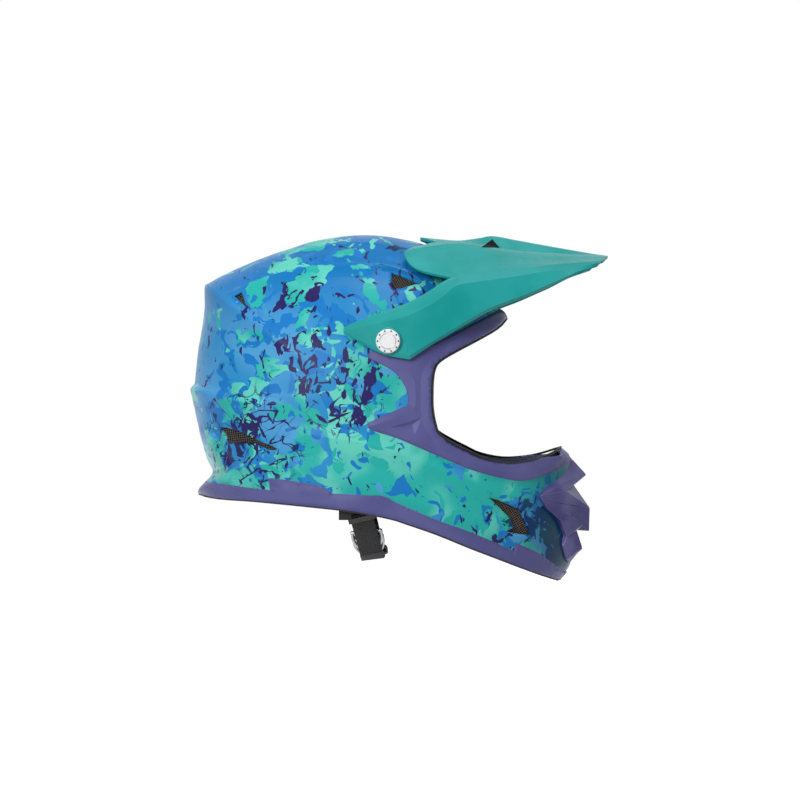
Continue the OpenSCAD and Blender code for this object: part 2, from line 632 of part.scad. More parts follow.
function visor_cell(i, c) = i >= 0 && i < last_row && c >= -edge_c && c < edge_c
    && (i >= arm_n || c >= ridge_c || c < -ridge_c);
function row_columns(i) = i < arm_n
    ? concat([for (c = [-edge_c : -ridge_c]) c], [for (c = [ridge_c : edge_c]) c])
    : [for (c = [-edge_c : edge_c]) c];
module visor_skin() {
    top = [for (i = [0 : last_row]) for (c = row_columns(i)) visor_point(i, c)];
    low = [for (i = [0 : last_row]) for (c = row_columns(i)) visor_point(i, c) - visor_t * visor_normal(i, c)];
    n = len(top);
    cells = [for (i = [0 : last_row - 1]) for (c = [-edge_c : edge_c - 1]) if (visor_cell(i, c)) [i, c]];
    function at(s, di, dc) = visor_index(s[0] + di, s[1] + dc);
    polyhedron(concat(top, low), concat(
        [for (s = cells) [at(s, 0, 0), at(s, 1, 1), at(s, 1, 0)]],
        [for (s = cells) [at(s, 0, 0), at(s, 0, 1), at(s, 1, 1)]],
        [for (s = cells) [n + at(s, 0, 0), n + at(s, 1, 0), n + at(s, 1, 1)]],
        [for (s = cells) [n + at(s, 0, 0), n + at(s, 1, 1), n + at(s, 0, 1)]],
        [for (s = cells) each concat(
            visor_cell(s[0] - 1, s[1]) ? [] : rim_faces(at(s, 0, 1), at(s, 0, 0), n),
            visor_cell(s[0] + 1, s[1]) ? [] : rim_faces(at(s, 1, 0), at(s, 1, 1), n),
            visor_cell(s[0], s[1] - 1) ? [] : rim_faces(at(s, 0, 0), at(s, 1, 0), n),
            visor_cell(s[0], s[1] + 1) ? [] : rim_faces(at(s, 1, 1), at(s, 0, 1), n))]
    ));
}
function rim_faces(a, b, n) = [[a, b, n + b], [a, n + b, n + a]];
washer_t = 2;
boss_d = 23;
boss_y = seat_y + washer_t + 0.2;
head_y = seat_y + 7.8;
module visor() {
    color(teal) difference() {
        union() {
            visor_skin();
            for (side = [-1, 1])
                at_pivot(side, boss_y) cylinder(h = head_y - boss_y - 0.1, d = boss_d, $fn = fine_fn);
        }
        for (side = [-1, 1])
            at_pivot(side, boss_y - 5) cylinder(h = 20, d = screw_shank_d + 2 * screw_play, $fn = fine_fn);
    }
}

// visor fasteners
module visor_screw(side) {
    head_h = 3.6;
    disc_r = screw_head_d / 2 - 3;
    dimples = 10;
    dimple_d = 1.1;
    color(silver) at_pivot(side, head_y) difference() {
        union() {
            rotate_extrude($fn = fine_fn) polygon([
                [0, -20], [screw_shank_d / 2 - 0.6, -20], [screw_shank_d / 2, -19.4], [screw_shank_d / 2, 0],
                [screw_head_d / 2, 0], [screw_head_d / 2, head_h - 0.8], [screw_head_d / 2 - 0.8, head_h],
                [disc_r + 0.5, head_h], [disc_r + 0.3, head_h - 0.7], [disc_r, head_h - 0.7],
                [disc_r - 0.4, head_h + 0.3], [0, head_h + 0.3]
            ]);
        }
        for (k = [0 : dimples - 1])
            rotate([0, 0, k * 360 / dimples]) translate([screw_head_d / 2 - 1.65, 0, head_h - 0.6])
                cylinder(h = 2, d = dimple_d, $fn = rod_fn);
    }
}
module visor_screw_right() visor_screw(-1);
module visor_screw_left() visor_screw(1);
washer_d = 22;
module friction_washer(side) {
    color(black) at_pivot(side, seat_y + 0.1) difference() {
        cylinder(h = washer_t, d = washer_d, $fn = fine_fn);
        translate([0, 0, -1]) cylinder(h = washer_t + 2, d = screw_shank_d + 2 * screw_play, $fn = fine_fn);
    }
}
module friction_washer_right() friction_washer(-1);
module friction_washer_left() friction_washer(1);
module visor_insert(side) {
    flange_y = seat_y - 12;
    flange_t = 1.6;
    flange_d = 17;
    color(brass) at_pivot(side, flange_y) difference() {
        union() {
            cylinder(h = flange_t, d = flange_d, $fn = fine_fn);
            cylinder(h = seat_y - flange_y, d = insert_d, $fn = fine_fn);
        }
        translate([0, 0, -1]) cylinder(h = 20, d = screw_shank_d + 2 * screw_play, $fn = fine_fn);
    }
}
module visor_insert_right() visor_insert(-1);
module visor_insert_left() visor_insert(1);

// strap
// half path of the webbing, [Y, Z], from the anchor down to the middle under the chin
web_path = [
    [83.4, -43], [83.4, -50], [83.2, -60], [81.4, -72], [78.4, -86], [74.5, -97.5], [68, -109.5],
    [50, -124.5], [36, -129], [18, -131.8], [0, -132.5]
];
// how far the webbing runs forward for each mm down
web_lean = 0.27;
// the webbing hangs between the liner and the cheek pads
strap_y = shell_half_w - 30.6;
web_spread = strap_y / web_path[0][0];
function web_place(p, side) = [anchor_x + web_lean * (anchor_z - p[1]), side * p[0] * web_spread, p[1]];
web_line = concat([for (p = web_path) web_place(p, -1)],
    [for (i = [len(web_path) - 2 : -1 : 0]) web_place(web_path[i], 1)]);
function web_tangent(line, i) = unit(line[min(i + 1, len(line) - 1)] - line[max(i - 1, 0)]);
function broad(t) = unit([1, 0, 0] - t[0] * t);
// band of rectangular section along a line of points
module band(line, w, h) {
    n = len(line);
    pts = [for (i = [0 : n - 1])
        let (t = web_tangent(line, i), b = broad(t), u = cross(t, b))
        each [for (k = [[-1, -1], [1, -1], [1, 1], [-1, 1]]) line[i] + b * k[0] * w / 2 + u * k[1] * h / 2]];
    polyhedron(pts, concat(
        [for (i = [0 : n - 2]) for (j = [0 : 3])
            [i * 4 + j, (i + 1) * 4 + j, (i + 1) * 4 + (j + 1) % 4, i * 4 + (j + 1) % 4]],
        [[0, 1, 2, 3], [(n - 1) * 4 + 3, (n - 1) * 4 + 2, (n - 1) * 4 + 1, (n - 1) * 4]]
    ));
}
// free end of the webbing, stitched on above the rings and laid over them
tail_path = [[77.6, -93.5], [76, -98.3], [71.3, -106.6], [65.4, -118.4], [62.8, -126.6], [58.8, -131]];
module chin_strap() {
    color(black) difference() {
        union() {
            band(web_line, web_w, web_t);
            band([for (p = tail_path) web_place(p, -1)], web_w, web_t);
        }
        for (side = [-1, 1])
            translate([anchor_x, side * strap_y, anchor_z]) rotate([90, 0, 0])
                cylinder(h = 10, d = anchor_pin_d + 2 * screw_play, center = true, $fn = rod_fn);
    }
}
module strap_anchor(side) {
    plate_d = 22;
    collar_d = 9;
    collar_t = 1.2;
    color(silver) translate([anchor_x, 0, anchor_z]) rotate([side * -90, 0, 0]) {
        translate([0, 0, strap_y + 22.1]) cylinder(h = 1.6, d = plate_d, $fn = fine_fn);
        translate([0, 0, strap_y - 1.4]) cylinder(h = 24, d = anchor_pin_d, $fn = rod_fn);
        for (collar = [-2.4, 1.4])
            translate([0, 0, strap_y + collar]) cylinder(h = collar_t, d = collar_d, $fn = rod_fn);
    }
}
module strap_anchor_right() strap_anchor(-1);
module strap_anchor_left() strap_anchor(1);
// place on the webbing, a share of the way between two points of the path
module on_web(i, share, side) {
    a = web_place(web_path[i], side);
    b = web_place(web_path[i + 1], side);
    t = unit(b - a);
    w = broad(t);
    u = cross(t, w);
    p = a + share * (b - a);
    multmatrix([[w[0], t[0], u[0], p[0]], [w[1], t[1], u[1], p[1]], [w[2], t[2], u[2], p[2]], [0, 0, 0, 1]])
        children();
}
ring_half_w = web_w / 2 + ring_wire_d / 2 + 1;
ring_leg = 4.5;
ring_tilt = 30;
module strap_ring(share) {
    r = ring_wire_d / 2;
    color(silver) on_web(6, share, -1) rotate([ring_tilt, 0, 0]) translate([0, -1, 0]) {
        rotate_extrude(angle = 180, $fn = fine_fn) translate([ring_half_w, 0]) circle(r = r, $fn = rod_fn);
        for (side = [-1, 1]) {
            translate([side * ring_half_w, 0, 0]) rotate([90, 0, 0])
                cylinder(h = ring_leg, r = r, $fn = rod_fn);
            translate([side * ring_half_w, -ring_leg, 0]) sphere(r = r, $fn = rod_fn);
        }
        translate([0, -ring_leg, 0]) rotate([0, 90, 0])
            cylinder(h = 2 * ring_half_w, r = r, center = true, $fn = rod_fn);
    }
}
module strap_ring_upper() strap_ring(0.27);
module strap_ring_lower() strap_ring(0.56);
module strap_keeper() {
    room = 2 * web_t + 1;
    color(black) on_web(4, 0.91, -1) translate([0, 0, web_t / 2]) difference() {
        cube([web_w + 3, 4.2, room + 1.6], center = true);
        cube([web_w + 1, 9, room], center = true);
    }
}
module strap_snap() {
    color(silver) on_web(6, 0.5, 1) for (face = [-1, 1])
        translate([0, 0, face * (web_t / 2 + 1)]) cylinder(h = 1.3, d = 10, center = true, $fn = fine_fn);
}
// soft cushion on the webbing under the chin
cushion_half = 32;
cushion_t = 7;
web_sag = [for (p = web_path) [p[0] * web_spread, p[1]]];
module chin_cushion() {
    function place(u, v, d) = let (y = cushion_half * (2 * u - 1), z = lookup(abs(y), web_sag))
        [anchor_x + web_lean * (anchor_z - z) + (v - 0.5) * (web_w + 5), y, z + web_t / 2 + 0.4 + d];
    rows = [for (i = [0 : 14]) i / 14];
    cols = [for (j = [0 : 6]) j / 6];
    color(cloth_grey) cushion(
        [for (u = rows) [for (v = cols) place(u, v, 0.2 * cushion_t * (1 - pillow(u, v)))]],
        [for (u = rows) [for (v = cols) place(u, v, cushion_t * (0.2 * (1 - pillow(u, v)) + pillow(u, v)))]]
    );
}
// tab that hangs from the liner under the rim
module pull_tab() {
    tab_at = [-15.3, 15.4 - shell_half_w, -86.3];
    color(black) translate(tab_at) rotate([90, 0, 0]) linear_extrude(height = 1.6)
        union() {
            translate([-5, -7]) square([10, 7]);
            translate([-5, -11]) square([10, 4.01]);
        }
}
// press studs of the cheek pads
stud_spots = [[24, -40], [42, -40], [25, -82], [42, -84]];
stud_d = 8;
stud_play = 0.4;
module pad_studs() {
    color(brass)
        for (side = [-1, 1])
            for (spot = stud_spots) {
                y = half_width(spot[0], spot[1], -inner_face - cheek_room / 2) + stud_play;
                translate([spot[0], side * y, spot[1]]) rotate([90, 0, 0])
                    cylinder(h = cheek_room - stud_play, d = stud_d, center = true, $fn = rod_fn);
            }
}

// what is drawn
outer_shell();
port_trim();
rim_trim();
crown_liner();
chin_liner();
crown_pad();
brow_pad();
cheek_pad_right();
cheek_pad_left();
neck_roll();
chin_pad();
pad_studs();
crown_grille_right();
crown_grille_left();
rear_grille_right();
rear_grille_left();
neck_grille_right();
neck_grille_left();
chin_grille_right();
chin_grille_left();
mouthpiece();
mouth_grille();
mouthpiece_pins();
visor();
visor_screw_right();
visor_screw_left();
friction_washer_right();
friction_washer_left();
visor_insert_right();
visor_insert_left();
strap_anchor_right();
strap_anchor_left();
chin_strap();
strap_ring_upper();
strap_ring_lower();
strap_keeper();
strap_snap();
chin_cushion();
pull_tab();
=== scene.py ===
import bpy
import bmesh
import math
import numpy as np
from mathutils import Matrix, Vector
from mathutils.bvhtree import BVHTree
from mathutils.geometry import delaunay_2d_cdt


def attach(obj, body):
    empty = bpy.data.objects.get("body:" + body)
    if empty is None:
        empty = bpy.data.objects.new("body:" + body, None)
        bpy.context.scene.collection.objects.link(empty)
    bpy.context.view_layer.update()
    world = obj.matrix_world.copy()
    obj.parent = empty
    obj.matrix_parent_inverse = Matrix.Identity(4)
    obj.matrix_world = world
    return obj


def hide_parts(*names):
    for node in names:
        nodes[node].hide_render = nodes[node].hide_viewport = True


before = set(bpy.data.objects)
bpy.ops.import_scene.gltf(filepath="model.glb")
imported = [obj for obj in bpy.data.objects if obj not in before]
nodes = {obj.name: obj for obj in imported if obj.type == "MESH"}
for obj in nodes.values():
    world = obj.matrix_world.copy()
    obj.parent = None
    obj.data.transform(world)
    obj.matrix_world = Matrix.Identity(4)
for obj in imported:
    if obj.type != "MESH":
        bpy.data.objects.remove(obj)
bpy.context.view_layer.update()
MM = 0.001
SIDES = ((-1, "right"), (1, "left"))
# camera in metres, and the width of the middle plane that it sees
EYE = (0.02975, -2.6, 0.022)
VIEW_W = 0.68

# Outlines in the side view, in mm: X forward, Z up
# shell, with face port and neck bridged over
PROFILE = [
    (120, 68), (106, 92), (81, 115.5), (54, 130.5), (25, 137.5), (-6, 139), (-33, 136),
    (-60, 129.5), (-88, 120), (-115, 108.5), (-131, 100), (-135.5, 97), (-136, 90),
    (-136, 77), (-138.5, 58), (-141, 44), (-143.5, 22), (-144.5, 14), (-148, 9),
    (-145.5, 1), (-142, -17), (-135.5, -44), (-130, -61), (-134, -68), (-140, -76),
    (-137, -84), (-126, -100), (-112, -135), (-70, -178), (0, -196), (70, -196),
    (130, -182), (166, -151), (175, -124), (177, -94), (173, -67), (166, -41),
    (159, -15), (148, 18), (134, 46)]
# powers n and m of the shell's cross-section, (1 - q^n)^(1/m), by bearing in degrees
INNER_POWER = [
    (-180, 2.4), (-90, 2.4), (-50, 2.1), (-25, 2), (0, 2.1), (30, 2.3), (90, 2.2), (140, 2.3), (180, 2.4)]
OUTER_POWER = [
    (-180, 2.4), (-90, 2.4), (-50, 1.9), (-25, 1.6), (0, 1.8), (30, 2.2), (90, 2.2), (140, 2.3), (180, 2.4)]
HALF_W = 114.0
SHELL_T = 2.6


def bend(points, k, closed=False, corners=()):
    """Smooth curve through points, k steps to a span; corners stay sharp."""
    P = np.array(points, float)
    n = len(P)
    out = []
    for i in range(n if closed else n - 1):
        a, b = i, (i + 1) % n
        p1, p2 = P[a], P[b]
        p0 = P[(i - 1) % n] if (closed or i > 0) and a not in corners else 2 * p1 - p2
        p3 = P[(i + 2) % n] if (closed or i + 2 < n) and b not in corners else 2 * p2 - p1
        for j in range(k):
            t = j / k
            out.append(0.5 * (2 * p1 + (p2 - p0) * t + (2 * p0 - 5 * p1 + 4 * p2 - p3) * t * t
                              + (3 * p1 - p0 - 3 * p2 + p3) * t ** 3))
    if not closed:
        out.append(P[-1])
    return np.array(out)


def polar(r, a):
    """Side-view points from their distance and bearing in degrees."""
    return np.stack([r * np.cos(np.radians(a)), r * np.sin(np.radians(a))], -1)


def bearing_of(P):
    return np.degrees(np.arctan2(P[..., 1], P[..., 0]))


def distance_of(P):
    return np.hypot(P[..., 0], P[..., 1])


ring = bend(PROFILE, 8, True)
order = np.argsort(bearing_of(ring))
one_turn = bearing_of(ring)[order]
bearing = np.concatenate([one_turn - 360, one_turn, one_turn + 360])
radius = np.tile(distance_of(ring)[order], 3)


def reach(a):
    """Distance of the outline at a bearing."""
    return np.interp(a, bearing, radius)


def powers(a):
    return np.interp(a, *zip(*INNER_POWER)), np.interp(a, *zip(*OUTER_POWER))


def bulge(a, q):
    """Share of the half width at bearing a and a share q of the way to the outline."""
    n, m = powers(a)
    return np.clip(1 - np.clip(q, 0, 1) ** n, 0, 1) ** (1 / m)


def skin(a, q, grow):
    """Surface points from bearing and share q of the way to the outline; Y positive."""
    R = reach(a) + grow
    flat = polar(q * R, a)
    return np.stack([flat[..., 0], (HALF_W + grow) * bulge(a, q), flat[..., 1]], -1)


def on_skin(P, depth, side):
    """Side-view points set on the right (-1) or left (1) of the shell, some depth under its surface."""
    a = bearing_of(P)
    y = (HALF_W - depth) * bulge(a, distance_of(P) / (reach(a) - depth))
    return np.stack([P[..., 0], side * y, P[..., 1]], -1)


# Mesh helpers
def link(name, data):
    ob = bpy.data.objects.new(name, data)
    bpy.context.scene.collection.objects.link(ob)
    return ob


def make(name, verts, faces, mats, sharp=None, marks=None, smooth=True):
    """Object from points in mm; sharp is the crease angle in degrees, marks the material of each face."""
    me = bpy.data.meshes.new(name)
    me.from_pydata([tuple(v) for v in np.asarray(verts, float) * MM], [],
                   [tuple(int(i) for i in f) for f in faces])
    for m in mats:
        me.materials.append(m)
    if marks is not None:
        me.polygons.foreach_set("material_index", np.asarray(marks, dtype=np.int32))
    me.polygons.foreach_set("use_smooth", [smooth] * len(me.polygons))
    if sharp:
        me.set_sharp_from_angle(angle=math.radians(sharp))
    me.update()
    return link(name, me)


def grid_faces(n, m, base=0, ring_n=False, ring_m=False, flip=False):
    """Four-sided faces of a grid of n by m points, closed round either way if asked."""
    out = []
    for i in range(n if ring_n else n - 1):
        for j in range(m if ring_m else m - 1):
            a, b = base + i * m + j, base + i * m + (j + 1) % m
            c, d = base + ((i + 1) % n) * m + (j + 1) % m, base + ((i + 1) % n) * m + j
            out.append((a, d, c, b) if flip else (a, b, c, d))
    return out


def modify(ob, kind, name, **values):
    m = ob.modifiers.new(name, kind)
    for k, v in values.items():
        setattr(m, k, v)


def outward(ob):
    """The same object with all faces turned outward."""
    bm = bmesh.new()
    bm.from_mesh(ob.data)
    bmesh.ops.recalc_face_normals(bm, faces=bm.faces)
    bm.to_mesh(ob.data)
    bm.free()
    return ob


def place(ob, body, replaces=()):
    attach(ob, body)
    if replaces:
        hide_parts(*replaces)


# Side-view geometry
def inside(poly, P):
    """Which points lie in a closed outline."""
    x, y = P[:, 0], P[:, 1]
    hit = np.zeros(len(P), bool)
    for (x0, y0), (x1, y1) in zip(poly, [*poly[1:], poly[0]]):
        if y0 != y1:
            hit ^= ((y0 > y) != (y1 > y)) & (x < (x1 - x0) * (y - y0) / (y1 - y0) + x0)
    return hit


def to_line(line, P, closed=False):
    """Distance to a line of points, side of it (+ left) and the share of its length."""
    L = np.asarray(line, float)
    if closed:
        L = np.vstack([L, L[:1]])
    lens = np.hypot(*(L[1:] - L[:-1]).T)
    total = lens.sum()
    start = np.concatenate([[0], np.cumsum(lens)])[:-1]
    best = np.full(len(P), 1e9)
    side = np.zeros(len(P))
    share = np.zeros(len(P))
    for i in range(len(L) - 1):
        d = L[i + 1] - L[i]
        rel = P - L[i]
        t = np.clip((rel @ d) / max(d @ d, 1e-9), 0, 1)
        off = rel - t[:, None] * d
        dist = np.hypot(off[:, 0], off[:, 1])
        near = dist < best
        best = np.where(near, dist, best)
        cr = d[0] * rel[:, 1] - d[1] * rel[:, 0]
        side = np.where(near, np.sign(cr), side)
        share = np.where(near, (start[i] + t * lens[i]) / total, share)
    return best, side, share


def signed(line, P):
    """Distance to a line, counted as positive on its left, and the share of its length."""
    d, side, share = to_line(line, P)
    return d * np.where(side == 0, 1, side), share


def offset(line, d, closed=False):
    """Copy of a line set off to its left by d."""
    L = np.asarray(line, float)
    if closed:
        t = np.roll(L, -1, 0) - np.roll(L, 1, 0)
    else:
        t = np.vstack([L[1:2] - L[:1], L[2:] - L[:-2], L[-1:] - L[-2:-1]])
    t /= np.maximum(np.hypot(t[:, 0], t[:, 1]), 1e-9)[:, None]
    return L + d * np.stack([-t[:, 1], t[:, 0]], -1)


def smooth01(t):
    t = np.clip(t, 0, 1)
    return t * t * (3 - 2 * t)


# face port, lower rim and vents, in the side view
PORT = bend([
    (119.8, 69.5), (110.5, 60.6), (92.4, 50.2), (74.8, 40.9), (62, 33), (57.6, 26.5), (55.9, 17),
    (55.5, 6), (55.6, -4), (56.8, -13.4), (58.4, -20), (61.2, -27.2), (71, -34), (87.5, -42.4),
    (100, -48.1), (119.2, -51.6), (139, -50.1), (153.5, -46.4), (166.8, -40.8)], 3)
PORT_HOLE = np.vstack([[(400, 95.5), (136, 83.5)], PORT, [(180, -37), (400, -37)]])
RIM = bend([
    (-139.5, -78.6), (-120, -80.6), (-88.3, -81.7), (-48.8, -84.9), (-8, -89.4), (21.7, -95.3),
    (34.6, -99.4), (60.3, -108.6), (86.4, -119.7), (112.9, -130.5), (140.5, -142.1), (163.5, -151.5)], 3)
RIM_CUT = np.vstack([[(-400, -78.6)], RIM, [(180, -158), (180, -400), (-400, -400)]])
CROWN_VENT = [(22.8, 106), (46.4, 97.7), (31.4, 93), (25.3, 91.6), (23.2, 98.9)]
REAR_VENT = [(-107.6, 86.6), (-101, 89.5), (-98.2, 80.4), (-91.7, 75.6), (-92.6, 74.9), (-98.8, 78.9)]
NECK_VENT = [
    (-120.6, -22.1), (-113.7, -22.1), (-100.4, -26), (-83.8, -33.4), (-70.2, -38.6), (-71.6, -40.4),
    (-77.7, -39.6), (-91, -34.9), (-103, -34.2), (-112.4, -36.2), (-116.2, -29)]
CHIN_VENT = [
    (101.9, -79), (110.2, -81.1), (121.8, -86.4), (129.6, -90.5), (133.5, -100), (138.2, -109.6),
    (133.6, -110.7), (120.6, -108.2), (116.7, -106.9), (123.8, -104), (120.5, -97), (112.8, -89.2),
    (105.2, -81.6)]
VENTS = (CROWN_VENT, REAR_VENT, NECK_VENT, CHIN_VENT)
# violet surround of the face port: its edge, its flat field, the soft fold and the crease under the lip
PANEL = bend([
    (20, 50), (8.5, 41.5), (4.6, 39), (3.9, 36.9), (5.8, 34.4), (19.2, 27.5), (26.7, 22.2), (32.1, 15.2),
    (35.3, 7.7), (36.3, -0.5), (34.6, -3.8), (5.9, -16.8), (3.9, -20.2), (6.4, -23.7), (26.7, -30.1),
    (48.1, -39.3), (72.8, -50.2), (89.1, -56.8), (105.7, -61.9), (122.5, -65.7), (134, -66.5),
    (145.8, -63.7), (158.1, -58.2), (171.4, -48), (200, -40), (200, 92), (113.2, 76.5), (59, 47.5)],
    3, True, (0, 10, 23, 24, 25, 26, 27))
PANEL_FLAT = bend([
    (60, 46), (17.8, 35.4), (27.8, 31), (37.9, 27.5), (40.9, 20.6), (42.2, 7.7), (41.9, -3.2),
    (39.8, -7.4), (24.6, -13.7), (10, -19.2), (12, -22.6), (27.4, -27.9), (49, -37.3), (73.6, -48),
    (89.8, -54.6), (106, -59.6), (122.6, -63.2), (134, -64), (145, -61.4), (157, -56), (170, -46),
    (196, -38), (196, 88), (112, 73)], 3, True, (0, 1, 7, 9, 10, 20, 21, 22, 23))
PANEL_SOFT = bend([(66, 42), (52.5, 31.5), (47.8, 22.4), (46.6, 8), (47, -8), (49.7, -21), (56.5, -32.5)], 3)
LIP_CREASE = bend([
    (57, -30), (61, -37), (71.4, -43.4), (83.7, -49.1), (100.2, -55.2), (122.6, -59.4), (139.9, -58),
    (154.5, -53.2), (168, -45)], 3)
# arrow-shaped dimple in the surround and its deepest point
ARROW = np.array([(20.3, -21.6), (48.6, -13.1), (41.6, -27.0)])
ARROW_IN = (40.2, -19.2)
ARROW_DEPTH = 2.8
# violet band of the lower rim, the crease along it, the step at its rear and the groove above that
BAND = bend([
    (-200, -64), (-139, -66.4), (-132.5, -67.9), (-114.3, -69.2), (-94.9, -71.5), (-76.6, -73.1),
    (-78.6, -63.8), (-67.1, -64.1), (-48.5, -67.0), (-36.2, -69.0), (-24.9, -75.6), (-8, -76.4),
    (12.8, -77), (21.8, -79.9), (29.8, -84), (59.5, -97.2), (90, -108.7), (124.4, -124.6),
    (125.4, -117.4), (145.7, -127.3), (168.1, -144.7), (200, -150), (200, -300), (-200, -300)],
    3, True, (0, 1, 5, 6, 10, 17, 18, 20, 21, 22, 23))
BAND_CREASE = bend([
    (-150, -71.5), (-120, -73.4), (-95, -74.2), (-76.6, -75.1), (-50.3, -76.4), (-24.9, -78.2),
    (5, -80.5), (28, -87.5), (60, -101.3), (90, -113.2), (122, -126.8), (150, -138), (172, -148)], 3)
STEP_CREASE = [(-91.6, -71.2), (-75, -72.3), (-58.4, -73.3), (-42.2, -74.4), (-24.8, -75.8)]
GROOVE = [(-68.1, -66.2), (-59.2, -68.5), (-49.5, -70.4)]
GROOVE_PROFILE = [(-1.6, 0), (0, -0.7), (1.6, 0)]
# creases of the painted shell
RAIL = bend([
    (-118, 86.2), (-107.9, 90.5), (-83.7, 99.9), (-69.0, 104.3), (-53.2, 107.8), (-37.6, 110.6),
    (-16.7, 112.3), (4.2, 111.7), (21.6, 109.2), (33.8, 105.8), (50, 99)], 3)
SPINE = bend([(-62.9, 121.7), (-38, 126), (-13.2, 129.2), (1.7, 130.4), (18, 127.6), (32.7, 123)], 3)
HOOD = bend([(5, 112.2), (17.5, 109.1), (33.8, 104.1), (48, 98.8)], 3)
BUMP = bend([
    (-147, 9.4), (-132.0, 5.1), (-114.8, 2.0), (-98.4, -0.2), (-85.9, -1.4), (-73.1, -2.2), (-50, -3)], 3)
BACK = bend([
    (-134, -18), (-130.2, -26), (-126.3, -34.5), (-119.4, -45.6), (-111.6, -59.5), (-113.8, -68.8)],
    3, False, (4,))
FLARE = bend([(-133, -59.6), (-125.4, -59.2), (-111.6, -59.5), (-95.7, -61), (-80, -63)], 3)
VENT_LINE = [(-98.2, 80.4), (-91.7, 75.8), (-82, 75.4), (-62, 74.8)]
VENT_GROOVE = [(-92.4, 75), (-82, 67.3), (-74, 61.5)]
CHEEK_UPPER = bend([
    (-95, -25), (-50.1, -27.4), (-10.1, -32), (27.4, -41.9), (61.7, -55), (94.2, -68.4), (119.1, -77.7),
    (150, -84)], 3)
CHEEK_LOWER = bend([
    (-90, -46), (-60, -52), (-26.1, -63.9), (21.8, -76.1), (61.8, -90.9), (110.9, -108.5), (150, -120)], 3)
# each crease: heights over the distance to its left, fade at its start and end as shares of its length, and
# the distances at which the mesh has a line of edges beside it
FOLDS = (
    (RAIL, [(-17, 0), (-9.5, -1.0), (-0.8, 2.5), (0, 2.5), (3.2, -1.4), (13, -0.6), (20, 0)], 0.14, 0.1,
     (-9.5, -0.8, 0, 3.2)),
    (SPINE, [(-5, 0), (0, 0), (1.6, 1.3), (9, 0.9), (14, 0)], 0.2, 0.2, (0, 1.6)),
    (HOOD, [(-9, 0), (-0.6, -2.0), (0.4, 1.0), (3.5, 1.0), (9, 0)], 0.12, 0.12, (-0.6, 0.4)),
    (BUMP, [(-15, 0), (-1, 2.0), (0, 2.1), (5, -0.6), (13, 0)], 0.08, 0.5, (-1, 0, 5)),
    (BACK, [(-12, 0), (0, 2.3), (5, -0.6), (11, 0)], 0.15, 0.05, (0, 6)),
    (FLARE, [(-8, 0), (0, -1.3), (7, 0)], 0.0, 0.6, (0,)),
    (VENT_LINE, [(-6, 0), (0, 0.8), (3, 0)], 0.2, 0.6, (0,)),
    (VENT_GROOVE, [(-3, 0.4), (0, -0.72), (3, 0.4), (6, 0)], 0.2, 0.6, (0,)),
    (CHEEK_UPPER, [(-16, 0), (-0.8, 1.8), (0.8, 1.8), (8, -0.5), (16, 0)], 0.3, 0.1, (0,)),
    (CHEEK_LOWER, [(-9, -0.3), (0, 1.7), (18, 0)], 0.25, 0.1, (0,)))
# louvre in front of the nape vent: its field, and the edge from which it dips
LOUVRE = [
    (-130.2, -25), (-119.6, -40.8), (-103, -34.6), (-70.5, -39.6), (-83.8, -33.2), (-100.4, -25.8),
    (-113.7, -21.9), (-120.6, -21.9)]
LOUVRE_EDGE = [
    (-130.2, -25), (-120.2, -40.4), (-103, -34.2), (-91, -34.9), (-71, -40), (-83.8, -33.4), (-100.4, -26),
    (-113.7, -22.1), (-120.6, -22.1)]
LOUVRE_DEPTH = 1.6
LOUVRE_RUN = 3.5
# raised fields: width of their steep edge, and the share of the relief below that still shows
EDGE_W = 0.5
UNDER_FIELD = 0.25
# surround: height of its edge, rise from there to its flat field, heights across its soft fold, and the
# slope below the crease under the lip
PANEL_EDGE_H = 0.9
PANEL_RISE = 1.3
PANEL_FOLD = [(-14, 2.2), (-5, 2.2), (0, 1.0), (8, 1.9), (20, 2.2)]
LIP_TOP_Z = -29
LIP_SLOPE = 0.28
# band: height of its edge, flare and added height below its crease, and the step at its rear
BAND_EDGE_H = 1.1
BAND_FLARE = 0.13
BAND_FLARE_END = 0.86
BAND_LOW_H = 0.3
STEP_X = (-80, -24)
STEP_DEPTH = 0.7
STEP_RUN = 1.2
# height of the front of the chin by degrees below the horizon, and the share of the way to the outline at
# which it starts
CHIN_SWELL = [
    (13.4, 0), (14.6, 4), (15.8, 8.2), (18, 6.5), (21, 4.5), (28, 1.5), (35, 1), (38.6, 2.4), (42, 0)]
SWELL_START = 0.8
# rounding of the port's edge: depth and width
PORT_ROUND = 0.9
PORT_ROUND_RUN = 1.3
# round seat of the visor screw: centre, half width of the shell there, and radii of bore, seat and blend
SEAT = (20.0, 48.7)
SEAT_Y = 112.0
BORE_R = 5.1
SEAT_R = 13
BLEND_R = 14.6
BLEND_RISE = 0.4


def ridge(line, P, profile, fade_in, fade_out):
    """Height of one crease, faded at both ends."""
    d, share = signed(line, P)
    fade = 1.0
    if fade_in:
        fade = smooth01(share / fade_in)
    if fade_out:
        fade = fade * smooth01((1 - share) / fade_out)
    return np.interp(d, *zip(*profile)) * fade


